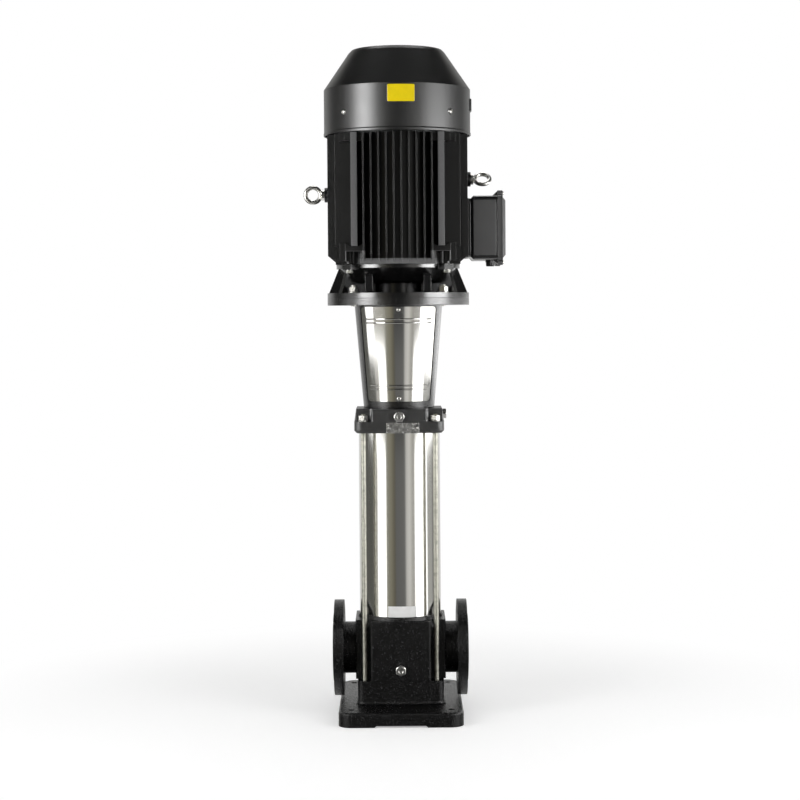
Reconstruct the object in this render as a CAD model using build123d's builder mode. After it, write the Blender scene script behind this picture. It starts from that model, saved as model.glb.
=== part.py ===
from build123d import *
import math
import os

# Vertical multistage in-line pump with its flanged motor on top.
# Millimetres, +Z up along the shaft. The origin is the middle of the foot's underside,
# on the shaft axis. The suction port faces -X, the discharge port +X, the front is -Y.

# Clearances that every fit uses
running_gap = 0.05
seat_gap = 0.3
thread_gap = 0.1

# Foot and plinth of the base casting
foot_width = 344
foot_depth = 472
foot_thickness = 40
foot_corner_radius = 38
foot_edge_round = 7
foot_relief = 5
foot_relief_half_width = 68
foot_relief_half_depth = 120
foot_hole_spacing_x = 275
foot_hole_spacing_y = 380
foot_hole_diameter = 18
plinth_width = 240
plinth_depth = 246
plinth_height = 65
plinth_corner_radius = 16
plinth_root_fillet = 9
core_pocket = 84
core_rib = 16
core_roof = 22

# Ports
port_height = 180
port_span = 380
port_bore = 125
port_mouth_length = 60
port_passage = 116
neck_diameter = 145
flange_diameter = 270
flange_thickness = 27
raised_face_diameter = 188
raised_face_height = 3
flange_bolt_circle = 220
flange_bolt_count = 8
suction_bolt_hole = 26
discharge_bolt_hole = 26.5

# Upper part of the base casting
body_width = 252
body_depth = 250
body_panel_width = 167
body_top = 271
riser_inner_radius = 60
riser_wall = 12
annulus_outer_radius = 104
annulus_floor_margin = 9
spigot_height = 14
drain_height = 136
collar_radius = 126
collar_depth = 21
collar_lip = 11
collar_wall = 1.8

# Sleeve, head and staybolts
sleeve_outer_radius = 114.7
sleeve_wall = 2.5
head_bottom = 796
head_width = 250
head_depth = 250
head_corner_radius = 22
head_band_height = 32
head_upper_height = 34
head_panel_width = 156
head_draft = 8
head_deck = 14
head_edge_chamfer = 7
seal_bore_radius = 42
staybolt_spacing = 200
staybolt_diameter = 14
staybolt_thread_depth = 40
washer_thickness = 3
washer_diameter = 28
nut_height = 14
nut_flats = 24
ring_section = 5
plug_flats = 27
plug_head = 13
plug_thread = 21
plug_thread_length = 18
plug_spot_margin = 3
plug_spot_depth = 1.5
plug_overrun = 6
vent_rise = 13.6
bolt_hole_gap = 1
staybolt_tip = 3
side_plug_offset = 44
cast_fillet = 5

# Hydraulic stack
stage_count = 3
stage_height = 146
inlet_plate_height = 18
chamber_radius = 100
chamber_wall = 4
chamber_floor = 5
diffuser_level = 78
diffuser_plate = 4
diffuser_rim_gap = 15
vane_count = 6
vane_thickness = 3
vane_sweep = 38
bush_height = 24
bush_wall = 8
bush_housing_wall = 5
pump_shaft_radius = 16
shaft_nut_flats = 46
shaft_nut_height = 16
spacer_wall = 6
impeller_radius = 86
impeller_eye_radius = 50
impeller_wear_width = 9
impeller_neck_wall = 4
impeller_shroud = 3
impeller_outlet_width = 26
impeller_eye_depth = 30
impeller_blade_count = 6
impeller_blade_thickness = 3
impeller_hub_wall = 9
impeller_hub_height = 66
impeller_blade_sweep = 62
impeller_blade_bow = 0.62
impeller_lift = 5
fuse = 1

# Shaft seal
gland_radius = 50
gland_thickness = 12
gland_spigot = 10
gland_screw_circle = 84
gland_screw_diameter = 6
gland_screw_head = 10.2
gland_screw_head_height = 6
screw_end_gap = 2
seal_shaft_gap = 3
seal_seat_drop = 4
shaft_tip = 4
shaft_chamfer = 1.5
seal_seat_radius = 30
seal_seat_height = 16
seal_face_radius = 28
seal_face_height = 36

# Motor stool and coupling guards
stool_foot_radius = 99.6
stool_top_radius = 123.8
stool_wall = 13
stool_foot_thickness = 14
stool_foot_inner_radius = 57
stool_height = 308.5
stool_flange_thickness = 19.5
stool_screw_circle = 146
stool_screw_diameter = 12
stool_screw_head = 18
stool_screw_head_height = 12
window_sill = 44
window_head = 28
window_angle = 49
window_corner = 12
rebate_depth = 3
rebate_angle = 60
rebate_sill = 20
rebate_head = 4
guard_thickness = 1.5
guard_edge_gap = 0.6
guard_corner = 9
bead_radius = 2.4
bead_spacing = 10.5
bead_inset = 34
bead_angle = 50
guard_margin = 25
guard_screw_inset = 8.5
guard_screw_diameter = 6
guard_screw_head = 11
guard_screw_head_height = 3.6

# Coupling
coupling_radius = 58
coupling_length = 190
coupling_split = 2
coupling_bolt_offset = 42
coupling_bolt_inset = 28
coupling_bolt_diameter = 12
coupling_bolt_head = 18
coupling_bolt_grip = 24
coupling_bolt_head_height = 8.4
coupling_seat_gap = 2
coupling_shaft_step = 4

# Motor flange and drive-end shield
motor_flange_diameter = 400
motor_flange_thickness = 15
motor_spigot_radius = 150
motor_spigot_height = 5
motor_bolt_circle = 350
motor_bolt_diameter = 16
motor_bolt_flats = 24
motor_stud_tip = 2.5
motor_stud_chamfer = 1
motor_washer_margin = 3
shield_neck_radius = 82
shield_neck_height = 27
bell_lower_radius = 145
bell_upper_radius = 165
bell_wall = 11
bell_height = 52
shield_rib_thickness = 15
shield_rib_top_radius = 168
side_rib_radius = 196
slant_rib_angle = 33
slant_rib_radius = 192
front_rib_offset = 80
front_rib_root = 60
front_rib_reach = 178
front_rib_thickness = 20
front_rib_height = 50.5
front_rib_round = 6
shield_lug_size = 34
shield_lug_height = 16
shield_shaft_gap = 2
bell_taper = 18

# Motor frame
frame_bore_radius = 164
frame_wall = 10
frame_length = 360
fin_count = 10
fin_pitch = 20.9
fin_thickness = 4
fin_reach = 190
side_fin_reach = 194.5
fin_root_angle = 36
fin_bevel_low = 5.5
fin_bevel_high = 24
fin_bar_height = 15
pad_reach = 196
pad_start = 178
pad_half_depth = 97
rail_offset = 119.7
rail_width = 17.4
rail_reach = 173
socket_offset = 134
boss_radius = 9
bracket_outer = 145
bracket_inner = 89
bracket_reach = 160
bracket_wall = 3
bracket_skirt = 7.5
bracket_floor = 35
bracket_notch = 49
bracket_tip = 58.5
top_bracket_height = 23.5
shield_bolt_end_gap = 5
shield_bolt_diameter = 12
shield_bolt_head = 18
shield_bolt_head_height = 9
eye_boss_radius = 20.5
eye_boss_reach = 206
left_eye_height = 1463
right_eye_height = 1505
eye_ring_radius = 21
eye_section_radius = 6
eye_collar_radius = 15
eye_collar_height = 8
eye_stand = 33
eye_shank_length = 20

# Motor inside
motor_shaft_radius = 27.5
motor_shaft_extension = 110
bearing_bore_radius = 30
motor_core_radius = 35
fan_seat_radius = 24
rotor_radius = 94
air_gap = 1
core_length = 226
winding_height = 40
winding_inner_radius = 104
winding_outer_radius = 148
drive_bearing_radius = 65
drive_bearing_width = 31
drive_ball_radius = 11.1
drive_ball_count = 8
fan_bearing_radius = 55
fan_bearing_width = 22
fan_bearing_recess = 2
fan_ball_radius = 7.9
fan_ball_count = 10
race_share = 0.34
cage_height = 8
cage_width = 4

# Fan end
fan_shield_plate = 12
fan_shield_hub_radius = 72
cover_lug_width = 24
cover_lug_thickness = 3
cover_lug_reach = 61
fan_hub_radius = 42
fan_hub_height = 34
fan_radius = 172
fan_disc = 4
fan_disc_radius = 138
fan_blade_count = 9
fan_blade_height = 62
fan_blade_thickness = 4
fan_stand = 22
cover_radius = 206.2
cover_wall = 3
cover_start = 1627.4
cover_cylinder_height = 128
cover_cone_height = 103
cover_top_radius = 136
cover_crown = 8
cover_lip = 1.2
cover_screw_height = 1682
cover_screw_diameter = 8
cover_screw_head = 15
cover_screw_head_height = 5
cover_screw_grip = 7.5
grille_slot = 7
grille_pitch = 16
grille_first_radius = 34
grille_ring_count = 6
grille_sector_count = 6
grille_spoke = 9

# Terminal box
saddle_bottom = 1283.5
saddle_top = 1446.5
saddle_half_depth = 80
saddle_reach = 202
box_reach = 278
box_bottom = 1276
box_top = 1454
box_half_depth = 90
box_wall = 6
box_corner = 10
box_flange = 11
box_flange_margin = 1
box_back_bevel = 9
panel_back_inset = 9
panel_front_inset = 5
panel_margin = 12
panel_raise = 2
panel_corner = 8
lid_edge = 3
lid_rise = 8
lid_inset = 4
lid_taper = 50
ear_offset = 70
ear_radius = 8
ear_stand = 7
ear_ramp = 14
ear_ramp_rise = 13
lid_screw_diameter = 6
lid_screw_head = 11
lid_screw_head_height = 4
cable_hole_radius = 24
terminal_half_depth = 34
terminal_height = 44
terminal_thickness = 16
stud_radius = 4
stud_length = 18
stud_spacing = 21
gland_inset = 17
gland_flats = 27
gland_length = 17
cable_bore_radius = 8.5
gland_thread_radius = 11
gland_thread_length = 18

# Levels and radii that follow from the sizes above
plinth_top = foot_thickness + plinth_height
spigot_radius = sleeve_outer_radius - sleeve_wall - running_gap
spigot_top = body_top + spigot_height
riser_radius = riser_inner_radius + riser_wall
chamber_floor_level = port_height - port_passage / 2
head_spigot_bottom = head_bottom - spigot_height
head_shoulder = head_bottom + head_band_height
head_top = head_shoulder + head_upper_height
staybolt_end = head_shoulder + washer_thickness + nut_height + staybolt_tip
head_cavity_radius = chamber_radius + running_gap
head_cavity_top = head_top - head_deck
stack_bottom = spigot_top + inlet_plate_height
stack_top = stack_bottom + stage_count * stage_height
spacer_radius = pump_shaft_radius + spacer_wall
bush_radius = spacer_radius + bush_wall
hub_radius = pump_shaft_radius + impeller_hub_wall
neck_radius = impeller_eye_radius + impeller_neck_wall
shroud_tip_level = impeller_eye_depth - impeller_wear_width
stool_top = head_top + stool_height
stool_flange_bottom = stool_top - stool_flange_thickness
cone_slope = (stool_top_radius - stool_foot_radius) / (stool_flange_bottom - head_top)
motor_shaft_end = stool_top - motor_shaft_extension
coupling_bottom = motor_shaft_end - coupling_length / 2
motor_flange_top = stool_top + motor_flange_thickness
bell_bottom = motor_flange_top + shield_neck_height
frame_bottom = bell_bottom + bell_height
frame_top = frame_bottom + frame_length
frame_radius = frame_bore_radius + frame_wall
drive_bearing_bottom = motor_flange_top + bell_wall
fan_bearing_top = frame_top - fan_bearing_recess
core_middle = (frame_bottom + frame_top) / 2
cover_cone_start = cover_start + cover_cylinder_height
cover_top = cover_cone_start + cover_cone_height + cover_crown
box_middle = (box_bottom + box_top) / 2
lid_seat = box_reach + box_flange
lid_top = lid_seat + lid_edge + lid_rise
gland_offset = box_reach - gland_inset
panel_start = saddle_reach + panel_back_inset
panel_end = box_reach - panel_front_inset


def meridian(angle):
    """Plane through the shaft axis at the given angle, its x outwards and its y up."""
    turn = math.radians(angle)
    outward = Vector(math.cos(turn), math.sin(turn), 0)
    return Plane(origin=(0, 0, 0), x_dir=outward, z_dir=outward.cross(Vector(0, 0, 1)))


def port_plane(side):
    """Plane on a port's face, with its normal pointing into the casting."""
    return Plane(origin=(side * port_span / 2, 0, port_height), z_dir=(-side, 0, 0))


def front_plane(level, reach):
    """Plane on the front of the object at a level, with its normal towards the viewer."""
    return Plane(origin=(0, -reach, level), x_dir=(1, 0, 0), z_dir=(0, -1, 0))


def cone_radius(level):
    """Outer radius of the stool's tapered shell at a level."""
    return stool_foot_radius + cone_slope * (level - head_top)


def collar_points():
    """Section of the flared collar that holds the foot of the sleeve."""
    root = annulus_outer_radius + collar_wall
    inner = sleeve_outer_radius + seat_gap
    return (
        (root, body_top - collar_depth),
        (collar_radius, body_top - collar_depth),
        (inner + collar_wall, body_top + collar_lip),
        (inner, body_top + collar_lip),
        (inner, body_top),
        (root, body_top),
    )


def save(piece, name):
    """Label a finished piece and write it to its own file."""
    piece.part.label = name
    export_step(piece.part, f"parts/{name}.step")


os.makedirs("parts", exist_ok=True)

# Base casting: foot, plinth, four-sided body, two port necks and the water ways
with BuildPart() as pump_base:
    with BuildSketch():
        RectangleRounded(foot_width, foot_depth, foot_corner_radius)
    extrude(amount=foot_thickness)
    fillet(pump_base.edges().group_by(Axis.Z)[-1], foot_edge_round)
    with BuildSketch(Plane.XY.offset(foot_thickness)):
        RectangleRounded(plinth_width, plinth_depth, plinth_corner_radius)
    extrude(amount=plinth_height)
    root_edges = pump_base.edges().filter_by(
        lambda edge: abs(edge.center().Z - foot_thickness) < 0.01
        and abs(edge.bounding_box().max.Z - foot_thickness) < 0.01
        and abs(edge.center().X) <= plinth_width / 2 + 0.01
        and abs(edge.center().Y) <= plinth_depth / 2 + 0.01
    )
    fillet(root_edges, plinth_root_fillet)
    with BuildSketch(Plane.XY.offset(plinth_top)) as body_section:
        Rectangle(body_panel_width, body_depth)
        Rectangle(body_width, body_panel_width)
        fillet(body_section.vertices(), cast_fillet)
    extrude(amount=body_top - plinth_top)
    with BuildSketch(Plane.XY.offset(plinth_top)):
        Circle(spigot_radius)
    extrude(amount=spigot_top - plinth_top)
    with BuildSketch(meridian(0)):
        Polygon(*collar_points(), align=None)
    revolve(axis=Axis.Z)
    for side in (-1, 1):
        with BuildSketch(port_plane(side).offset(raised_face_height)):
            Circle(flange_diameter / 2)
        extrude(amount=flange_thickness)
        with BuildSketch(port_plane(side)):
            Circle(raised_face_diameter / 2)
        extrude(amount=raised_face_height)
        with BuildSketch(port_plane(side)):
            Circle(neck_diameter / 2)
        extrude(amount=port_span / 2 - annulus_outer_radius)
    with BuildSketch(Plane.XY.offset(chamber_floor_level)):
        Circle(riser_inner_radius)
    extrude(amount=spigot_top - chamber_floor_level, mode=Mode.SUBTRACT)
    with BuildSketch(Plane.XY.offset(port_height + port_passage / 2 + annulus_floor_margin)):
        Circle(annulus_outer_radius)
        Circle(riser_radius, mode=Mode.SUBTRACT)
    extrude(until=Until.LAST, mode=Mode.SUBTRACT)
    with BuildSketch(Plane.XY.offset(chamber_floor_level)):
        Circle(annulus_outer_radius)
        Circle(riser_radius, mode=Mode.SUBTRACT)
        with Locations((riser_wall * 2, 0)):
            Rectangle(body_width, body_depth, align=(Align.MIN, Align.CENTER), mode=Mode.INTERSECT)
    extrude(amount=spigot_top - chamber_floor_level, mode=Mode.SUBTRACT)
    for side, reach, bolt_hole in (
        (-1, port_span / 2, suction_bolt_hole),
        (1, port_span / 2 - riser_radius - annulus_floor_margin, discharge_bolt_hole),
    ):
        with BuildSketch(port_plane(side)):
            Circle(port_bore / 2)
        extrude(amount=port_mouth_length, mode=Mode.SUBTRACT)
        with BuildSketch(port_plane(side)):
            Circle(port_passage / 2)
        extrude(amount=reach, mode=Mode.SUBTRACT)
        with BuildSketch(port_plane(side)):
            with PolarLocations(flange_bolt_circle / 2, flange_bolt_count, 180 / flange_bolt_count):
                Circle(bolt_hole / 2)
        extrude(amount=flange_thickness + raised_face_height, mode=Mode.SUBTRACT)
    with BuildSketch(front_plane(drain_height, body_depth / 2)):
        Circle(plug_thread / 2)
    extrude(amount=-(body_depth / 2 - riser_inner_radius / 2), mode=Mode.SUBTRACT)
    with BuildSketch(Plane.XY.offset(plinth_top)):
        with GridLocations(staybolt_spacing, staybolt_spacing, 2, 2):
            Circle(staybolt_diameter / 2 + thread_gap)
    extrude(amount=-staybolt_thread_depth - thread_gap, mode=Mode.SUBTRACT)
    with BuildSketch(Plane.XY):
        with GridLocations(foot_hole_spacing_x, foot_hole_spacing_y, 2, 2):
            Circle(foot_hole_diameter / 2)
    extrude(amount=foot_thickness, mode=Mode.SUBTRACT)
    with BuildSketch(Plane.XZ.offset(-foot_depth / 2)):
        with BuildLine():
            Polyline(
                (-foot_relief_half_width - foot_relief, 0),
                (-foot_relief_half_width, foot_relief),
                (foot_relief_half_width, foot_relief),
                (foot_relief_half_width + foot_relief, 0),
                close=True,
            )
        make_face()
    extrude(amount=foot_depth, mode=Mode.SUBTRACT)
    with BuildSketch(Plane.XY):
        Rectangle(foot_width, 2 * foot_relief_half_depth)
    extrude(amount=foot_relief, mode=Mode.SUBTRACT)
    with BuildSketch(Plane.XY):
        with GridLocations(core_pocket + core_rib, core_pocket + core_rib, 2, 2):
            RectangleRounded(core_pocket, core_pocket, plinth_corner_radius)
    extrude(amount=chamber_floor_level - core_roof, mode=Mode.SUBTRACT)
    with BuildSketch(Plane.XY.offset(body_top + spigot_height / 2 - ring_section / 2)):
        Circle(spigot_radius + seat_gap)
        Circle(spigot_radius - ring_section - seat_gap, mode=Mode.SUBTRACT)
    extrude(amount=ring_section + seat_gap, mode=Mode.SUBTRACT)
save(pump_base, "pump_base")


def hex_plug(plane, turn, name):
    """Screwed plug with a hexagon head, turned by an angle, and a collar, seated on the plane."""
    with BuildPart() as plug:
        with BuildSketch(plane):
            Circle(plug_flats / 2)
        extrude(amount=plug_head / 4)
        with BuildSketch(plane):
            RegularPolygon(plug_flats / 2, 6, major_radius=False, rotation=turn)
        extrude(amount=plug_head)
        with BuildSketch(plane):
            Circle(plug_thread / 2 - thread_gap)
        extrude(amount=-plug_thread_length)
    save(plug, name)


hex_plug(front_plane(drain_height, body_depth / 2), 30, "drain_plug")

# Outer sleeve, slipped over the spigots of the base and the head
with BuildPart() as outer_sleeve:
    with BuildSketch(Plane.XY.offset(body_top)):
        Circle(sleeve_outer_radius)
        Circle(sleeve_outer_radius - sleeve_wall, mode=Mode.SUBTRACT)
    extrude(amount=head_bottom - body_top)
save(outer_sleeve, "outer_sleeve")

# Sealing rings in the two spigot grooves
with BuildPart() as sleeve_rings:
    for level in (body_top + spigot_height / 2, head_bottom - spigot_height / 2):
        with BuildSketch(meridian(0)):
            with Locations((spigot_radius - ring_section / 2 - seat_gap / 2, level)):
                Circle(ring_section / 2)
        revolve(axis=Axis.Z)
save(sleeve_rings, "sleeve_rings")

# Pump head: band with four ears, drafted upper part with nut pockets, seal bore
with BuildPart() as pump_head:
    with BuildSketch(Plane.XY.offset(head_bottom)):
        RectangleRounded(head_width, head_depth, head_corner_radius)
    extrude(amount=head_band_height)
    chamfer(pump_head.edges().group_by(Axis.Z)[0], head_edge_chamfer)
    with BuildSketch(Plane.XY.offset(head_shoulder)) as upper_section:
        Rectangle(head_panel_width, head_depth)
        Rectangle(head_width, head_panel_width)
        fillet(upper_section.vertices(), cast_fillet)
    extrude(amount=head_upper_height, taper=head_draft)
    with BuildSketch(Plane.XY.offset(head_spigot_bottom)):
        Circle(spigot_radius)
    extrude(amount=spigot_height + head_edge_chamfer)
    with BuildSketch(Plane.XY.offset(head_spigot_bottom)):
        Circle(head_cavity_radius)
    extrude(amount=head_cavity_top - head_spigot_bottom, mode=Mode.SUBTRACT)
    with BuildSketch(Plane.XY.offset(head_cavity_top)):
        Circle(seal_bore_radius)
    extrude(amount=head_deck, mode=Mode.SUBTRACT)
    with BuildSketch(Plane.XY.offset(head_bottom)):
        with GridLocations(staybolt_spacing, staybolt_spacing, 2, 2):
            Circle(staybolt_diameter / 2 + bolt_hole_gap)
    extrude(amount=head_band_height, mode=Mode.SUBTRACT)
    with BuildSketch(Plane.XY.offset(head_top)):
        with PolarLocations(stool_screw_circle / 2, 4, 45):
            Circle(stool_screw_diameter / 2 + thread_gap)
        with PolarLocations(gland_screw_circle / 2 + gland_screw_diameter, 4, 0):
            Circle(gland_screw_diameter / 2 + thread_gap)
    extrude(amount=-head_deck, mode=Mode.SUBTRACT)
    vent_level = head_shoulder + vent_rise
    plug_seat = head_depth / 2 - (vent_level - head_shoulder) * math.tan(math.radians(head_draft))
    with BuildSketch(front_plane(vent_level, head_depth / 2)):
        Circle(plug_flats / 2 + plug_spot_margin)
    extrude(amount=-(head_depth / 2 - plug_seat + plug_spot_depth), mode=Mode.SUBTRACT)
    with BuildSketch(front_plane(vent_level, head_depth / 2)):
        Circle(plug_thread / 2)
    extrude(amount=-(head_depth / 2 - head_cavity_radius + plug_overrun), mode=Mode.SUBTRACT)
    side_plug_plane = Plane(
        origin=(plug_seat - plug_spot_depth, side_plug_offset, vent_level), x_dir=(0, 1, 0), z_dir=(1, 0, 0)
    )
    with BuildSketch(side_plug_plane):
        Circle(plug_flats / 2 + plug_spot_margin)
    extrude(amount=plug_overrun, mode=Mode.SUBTRACT)
    with BuildSketch(side_plug_plane):
        Circle(plug_thread / 2)
    extrude(amount=-plug_thread_length - plug_overrun, mode=Mode.SUBTRACT)
    with BuildSketch(Plane.XY.offset(head_bottom - spigot_height / 2 - ring_section / 2)):
        Circle(spigot_radius + seat_gap)
        Circle(spigot_radius - ring_section - seat_gap, mode=Mode.SUBTRACT)
    extrude(amount=ring_section + seat_gap, mode=Mode.SUBTRACT)
save(pump_head, "pump_head")
hex_plug(front_plane(vent_level, plug_seat - plug_spot_depth), 0, "vent_plug")
hex_plug(side_plug_plane, 0, "side_plug")

# Four staybolts with their washers and nuts clamp the head down on the sleeve
with BuildPart() as staybolts:
    with BuildSketch(Plane.XY.offset(plinth_top - staybolt_thread_depth)):
        with GridLocations(staybolt_spacing, staybolt_spacing, 2, 2):
            Circle(staybolt_diameter / 2)
    extrude(amount=staybolt_end - plinth_top + staybolt_thread_depth)
save(staybolts, "staybolts")

with BuildPart() as staybolt_washers:
    with BuildSketch(Plane.XY.offset(head_shoulder)):
        with GridLocations(staybolt_spacing, staybolt_spacing, 2, 2):
            Circle(washer_diameter / 2)
            Circle(staybolt_diameter / 2 + seat_gap, mode=Mode.SUBTRACT)
    extrude(amount=washer_thickness)
save(staybolt_washers, "staybolt_washers")

with BuildPart() as staybolt_nuts:
    with BuildSketch(Plane.XY.offset(head_shoulder + washer_thickness)):
        with GridLocations(staybolt_spacing, staybolt_spacing, 2, 2):
            RegularPolygon(nut_flats / 2, 6, major_radius=False)
            Circle(staybolt_diameter / 2 + thread_gap, mode=Mode.SUBTRACT)
    extrude(amount=nut_height)
save(staybolt_nuts, "staybolt_nuts")

# Inlet plate: seats on the riser of the base and carries the stack of chambers
with BuildPart() as inlet_plate:
    with BuildSketch(meridian(0)):
        with BuildLine():
            Polyline(
                (riser_inner_radius, spigot_top),
                (riser_radius, spigot_top),
                (chamber_radius, stack_bottom - chamber_floor),
                (chamber_radius, stack_bottom),
                (riser_inner_radius, stack_bottom),
                close=True,
            )
        make_face()
    revolve(axis=Axis.Z)
save(inlet_plate, "inlet_plate")


def stage_chamber(index):
    """One chamber: outer wall, floor with the wear ring hole, diffuser plate and return vanes."""
    floor = stack_bottom + index * stage_height
    diffuser = floor + diffuser_level
    inner = chamber_radius - chamber_wall
    with BuildPart() as chamber:
        with BuildSketch(Plane.XY.offset(floor)):
            Circle(chamber_radius)
            Circle(inner, mode=Mode.SUBTRACT)
        extrude(amount=stage_height)
        with BuildSketch(Plane.XY.offset(floor)):
            Circle(inner + fuse)
            Circle(neck_radius + seat_gap, mode=Mode.SUBTRACT)
        extrude(amount=chamber_floor)
        with BuildSketch(Plane.XY.offset(diffuser)):
            Circle(inner - diffuser_rim_gap)
        extrude(amount=diffuser_plate)
        with BuildSketch(Plane.XY.offset(diffuser)):
            Circle(bush_radius + bush_housing_wall)
        extrude(amount=bush_height)
        with BuildSketch(Plane.XY.offset(diffuser + diffuser_plate)):
            for step in range(vane_count):
                start = math.radians(step * 360 / vane_count)
                bend = start + math.radians(vane_sweep / 2)
                end = start + math.radians(vane_sweep)
                root = bush_radius + bush_housing_wall - fuse
                middle = (root + inner) / 2
                with BuildLine():
                    ThreePointArc(
                        (root * math.cos(start), root * math.sin(start)),
                        (middle * math.cos(bend), middle * math.sin(bend)),
                        ((inner + fuse) * math.cos(end), (inner + fuse) * math.sin(end)),
                    )
                    offset(amount=vane_thickness / 2, side=Side.BOTH)
                make_face()
        extrude(amount=stage_height - diffuser_level - diffuser_plate)
        with BuildSketch(Plane.XY.offset(diffuser)):
            Circle(bush_radius + running_gap)
        extrude(amount=bush_height, mode=Mode.SUBTRACT)
        with BuildSketch(Plane.XY.offset(floor + stage_height)):
            Circle(chamber_radius + stage_height)
            Circle(chamber_radius, mode=Mode.SUBTRACT)
        extrude(amount=-stage_height, mode=Mode.SUBTRACT)
    save(chamber, f"stage_chamber_{index + 1}")


def impeller(index):
    """Closed impeller: hub, back shroud, front shroud with its neck, and swept blades."""
    eye_level = stack_bottom + index * stage_height + chamber_floor - impeller_wear_width + impeller_lift
    tip = eye_level + impeller_wear_width + shroud_tip_level
    back = tip + impeller_shroud + impeller_outlet_width
    with BuildPart() as wheel:
        with BuildSketch(meridian(0)):
            with BuildLine():
                Polyline(
                    (hub_radius - fuse, eye_level + impeller_wear_width),
                    (impeller_eye_radius + fuse, eye_level + impeller_wear_width),
                    (impeller_radius, tip + fuse),
                    (impeller_radius, back + fuse),
                    (hub_radius - fuse, back + fuse),
                    close=True,
                )
            make_face()
        revolve(axis=Axis.Z)
        with BuildSketch(Plane.XY.offset(eye_level)):
            for step in range(impeller_blade_count):
                start = math.radians(step * 360 / impeller_blade_count)
                bend = start + math.radians(impeller_blade_sweep * impeller_blade_bow)
                end = start + math.radians(impeller_blade_sweep)
                root = hub_radius - 2 * fuse
                tip_radius = impeller_radius + impeller_blade_thickness
                middle = (root + impeller_radius) / 2
                with BuildLine():
                    ThreePointArc(
                        (root * math.cos(start), root * math.sin(start)),
                        (middle * math.cos(bend), middle * math.sin(bend)),
                        (tip_radius * math.cos(end), tip_radius * math.sin(end)),
                    )
                    offset(amount=impeller_blade_thickness / 2, side=Side.BOTH)
                make_face()
        extrude(amount=back + 2 * fuse - eye_level, mode=Mode.INTERSECT)
        with BuildSketch(meridian(0)):
            with BuildLine():
                Polyline(
                    (impeller_eye_radius, eye_level),
                    (neck_radius, eye_level),
                    (neck_radius, eye_level + impeller_wear_width),
                    (impeller_radius, tip),
                    (impeller_radius, tip + impeller_shroud),
                    (impeller_eye_radius, eye_level + impeller_wear_width + impeller_shroud),
                    close=True,
                )
            make_face()
        revolve(axis=Axis.Z)
        with BuildSketch(meridian(0)):
            with BuildLine():
                Polyline(
                    (pump_shaft_radius + running_gap, back + impeller_shroud - impeller_hub_height),
                    (hub_radius, back + impeller_shroud - impeller_hub_height),
                    (hub_radius, back),
                    (impeller_radius, back),
                    (impeller_radius, back + impeller_shroud),
                    (pump_shaft_radius + running_gap, back + impeller_shroud),
                    close=True,
                )
            make_face()
        revolve(axis=Axis.Z)
    save(wheel, f"impeller_{index + 1}")
    return back + impeller_shroud


hub_tops = []
for stage in range(stage_count):
    stage_chamber(stage)
    hub_tops.append(impeller(stage))
hub_bottoms = [level - impeller_hub_height for level in hub_tops]

# Discharge ring: closes the stack and lets the water out to the gap round the chambers
with BuildPart() as discharge_ring:
    with BuildSketch(Plane.XY.offset(stack_top)):
        Circle(chamber_radius)
        Circle(chamber_radius - chamber_wall, mode=Mode.SUBTRACT)
    extrude(amount=head_cavity_top - stack_top)
    with BuildSketch(Plane.XY.offset((stack_top + head_spigot_bottom) / 2)):
        with PolarLocations(chamber_radius, 8):
            Rectangle(4 * chamber_wall, chamber_radius / 2)
    extrude(amount=spigot_height, both=True, mode=Mode.SUBTRACT)
save(discharge_ring, "discharge_ring")

# Bearing bushes pressed into the diffusers; the spacers run in them
with BuildPart() as journal_bushes:
    for stage in range(stage_count):
        with BuildSketch(Plane.XY.offset(stack_bottom + stage * stage_height + diffuser_level)):
            Circle(bush_radius)
            Circle(spacer_radius + running_gap, mode=Mode.SUBTRACT)
        extrude(amount=bush_height)
save(journal_bushes, "journal_bushes")

# Shaft seal: gland plate, seat held in it, and the face that turns with the shaft
gland_bottom = head_top - gland_spigot
seat_bottom = gland_bottom - seal_seat_drop
with BuildPart() as seal_gland:
    with BuildSketch(Plane.XY.offset(head_top)):
        Circle(gland_radius + gland_screw_diameter)
    extrude(amount=gland_thickness)
    with BuildSketch(Plane.XY.offset(gland_bottom)):
        Circle(seal_bore_radius - running_gap)
    extrude(amount=gland_spigot)
    with BuildSketch(Plane.XY.offset(gland_bottom)):
        Circle(seal_seat_radius + running_gap)
    extrude(amount=seal_seat_height - seal_seat_drop, mode=Mode.SUBTRACT)
    with BuildSketch(Plane.XY.offset(gland_bottom)):
        Circle(pump_shaft_radius + seal_shaft_gap)
        with PolarLocations(gland_screw_circle / 2 + gland_screw_diameter, 4, 0):
            Circle(gland_screw_diameter / 2 + thread_gap)
    extrude(amount=gland_spigot + gland_thickness, mode=Mode.SUBTRACT)
save(seal_gland, "seal_gland")

with BuildPart() as seal_gland_screws:
    with BuildSketch(Plane.XY.offset(head_top + gland_thickness)):
        with PolarLocations(gland_screw_circle / 2 + gland_screw_diameter, 4, 0):
            Circle(gland_screw_head / 2)
    extrude(amount=gland_screw_head_height)
    with BuildSketch(Plane.XY.offset(head_top + gland_thickness)):
        with PolarLocations(gland_screw_circle / 2 + gland_screw_diameter, 4, 0):
            Circle(gland_screw_diameter / 2)
    extrude(amount=-gland_thickness - head_deck + screw_end_gap)
save(seal_gland_screws, "seal_gland_screws")

with BuildPart() as seal_seat:
    with BuildSketch(Plane.XY.offset(seat_bottom)):
        Circle(seal_seat_radius)
        Circle(pump_shaft_radius + seal_shaft_gap, mode=Mode.SUBTRACT)
    extrude(amount=seal_seat_height)
save(seal_seat, "seal_seat")

with BuildPart() as seal_face:
    with BuildSketch(Plane.XY.offset(seat_bottom - running_gap)):
        Circle(seal_face_radius)
        Circle(pump_shaft_radius + running_gap, mode=Mode.SUBTRACT)
    extrude(amount=-seal_face_height)
save(seal_face, "seal_face")

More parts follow.
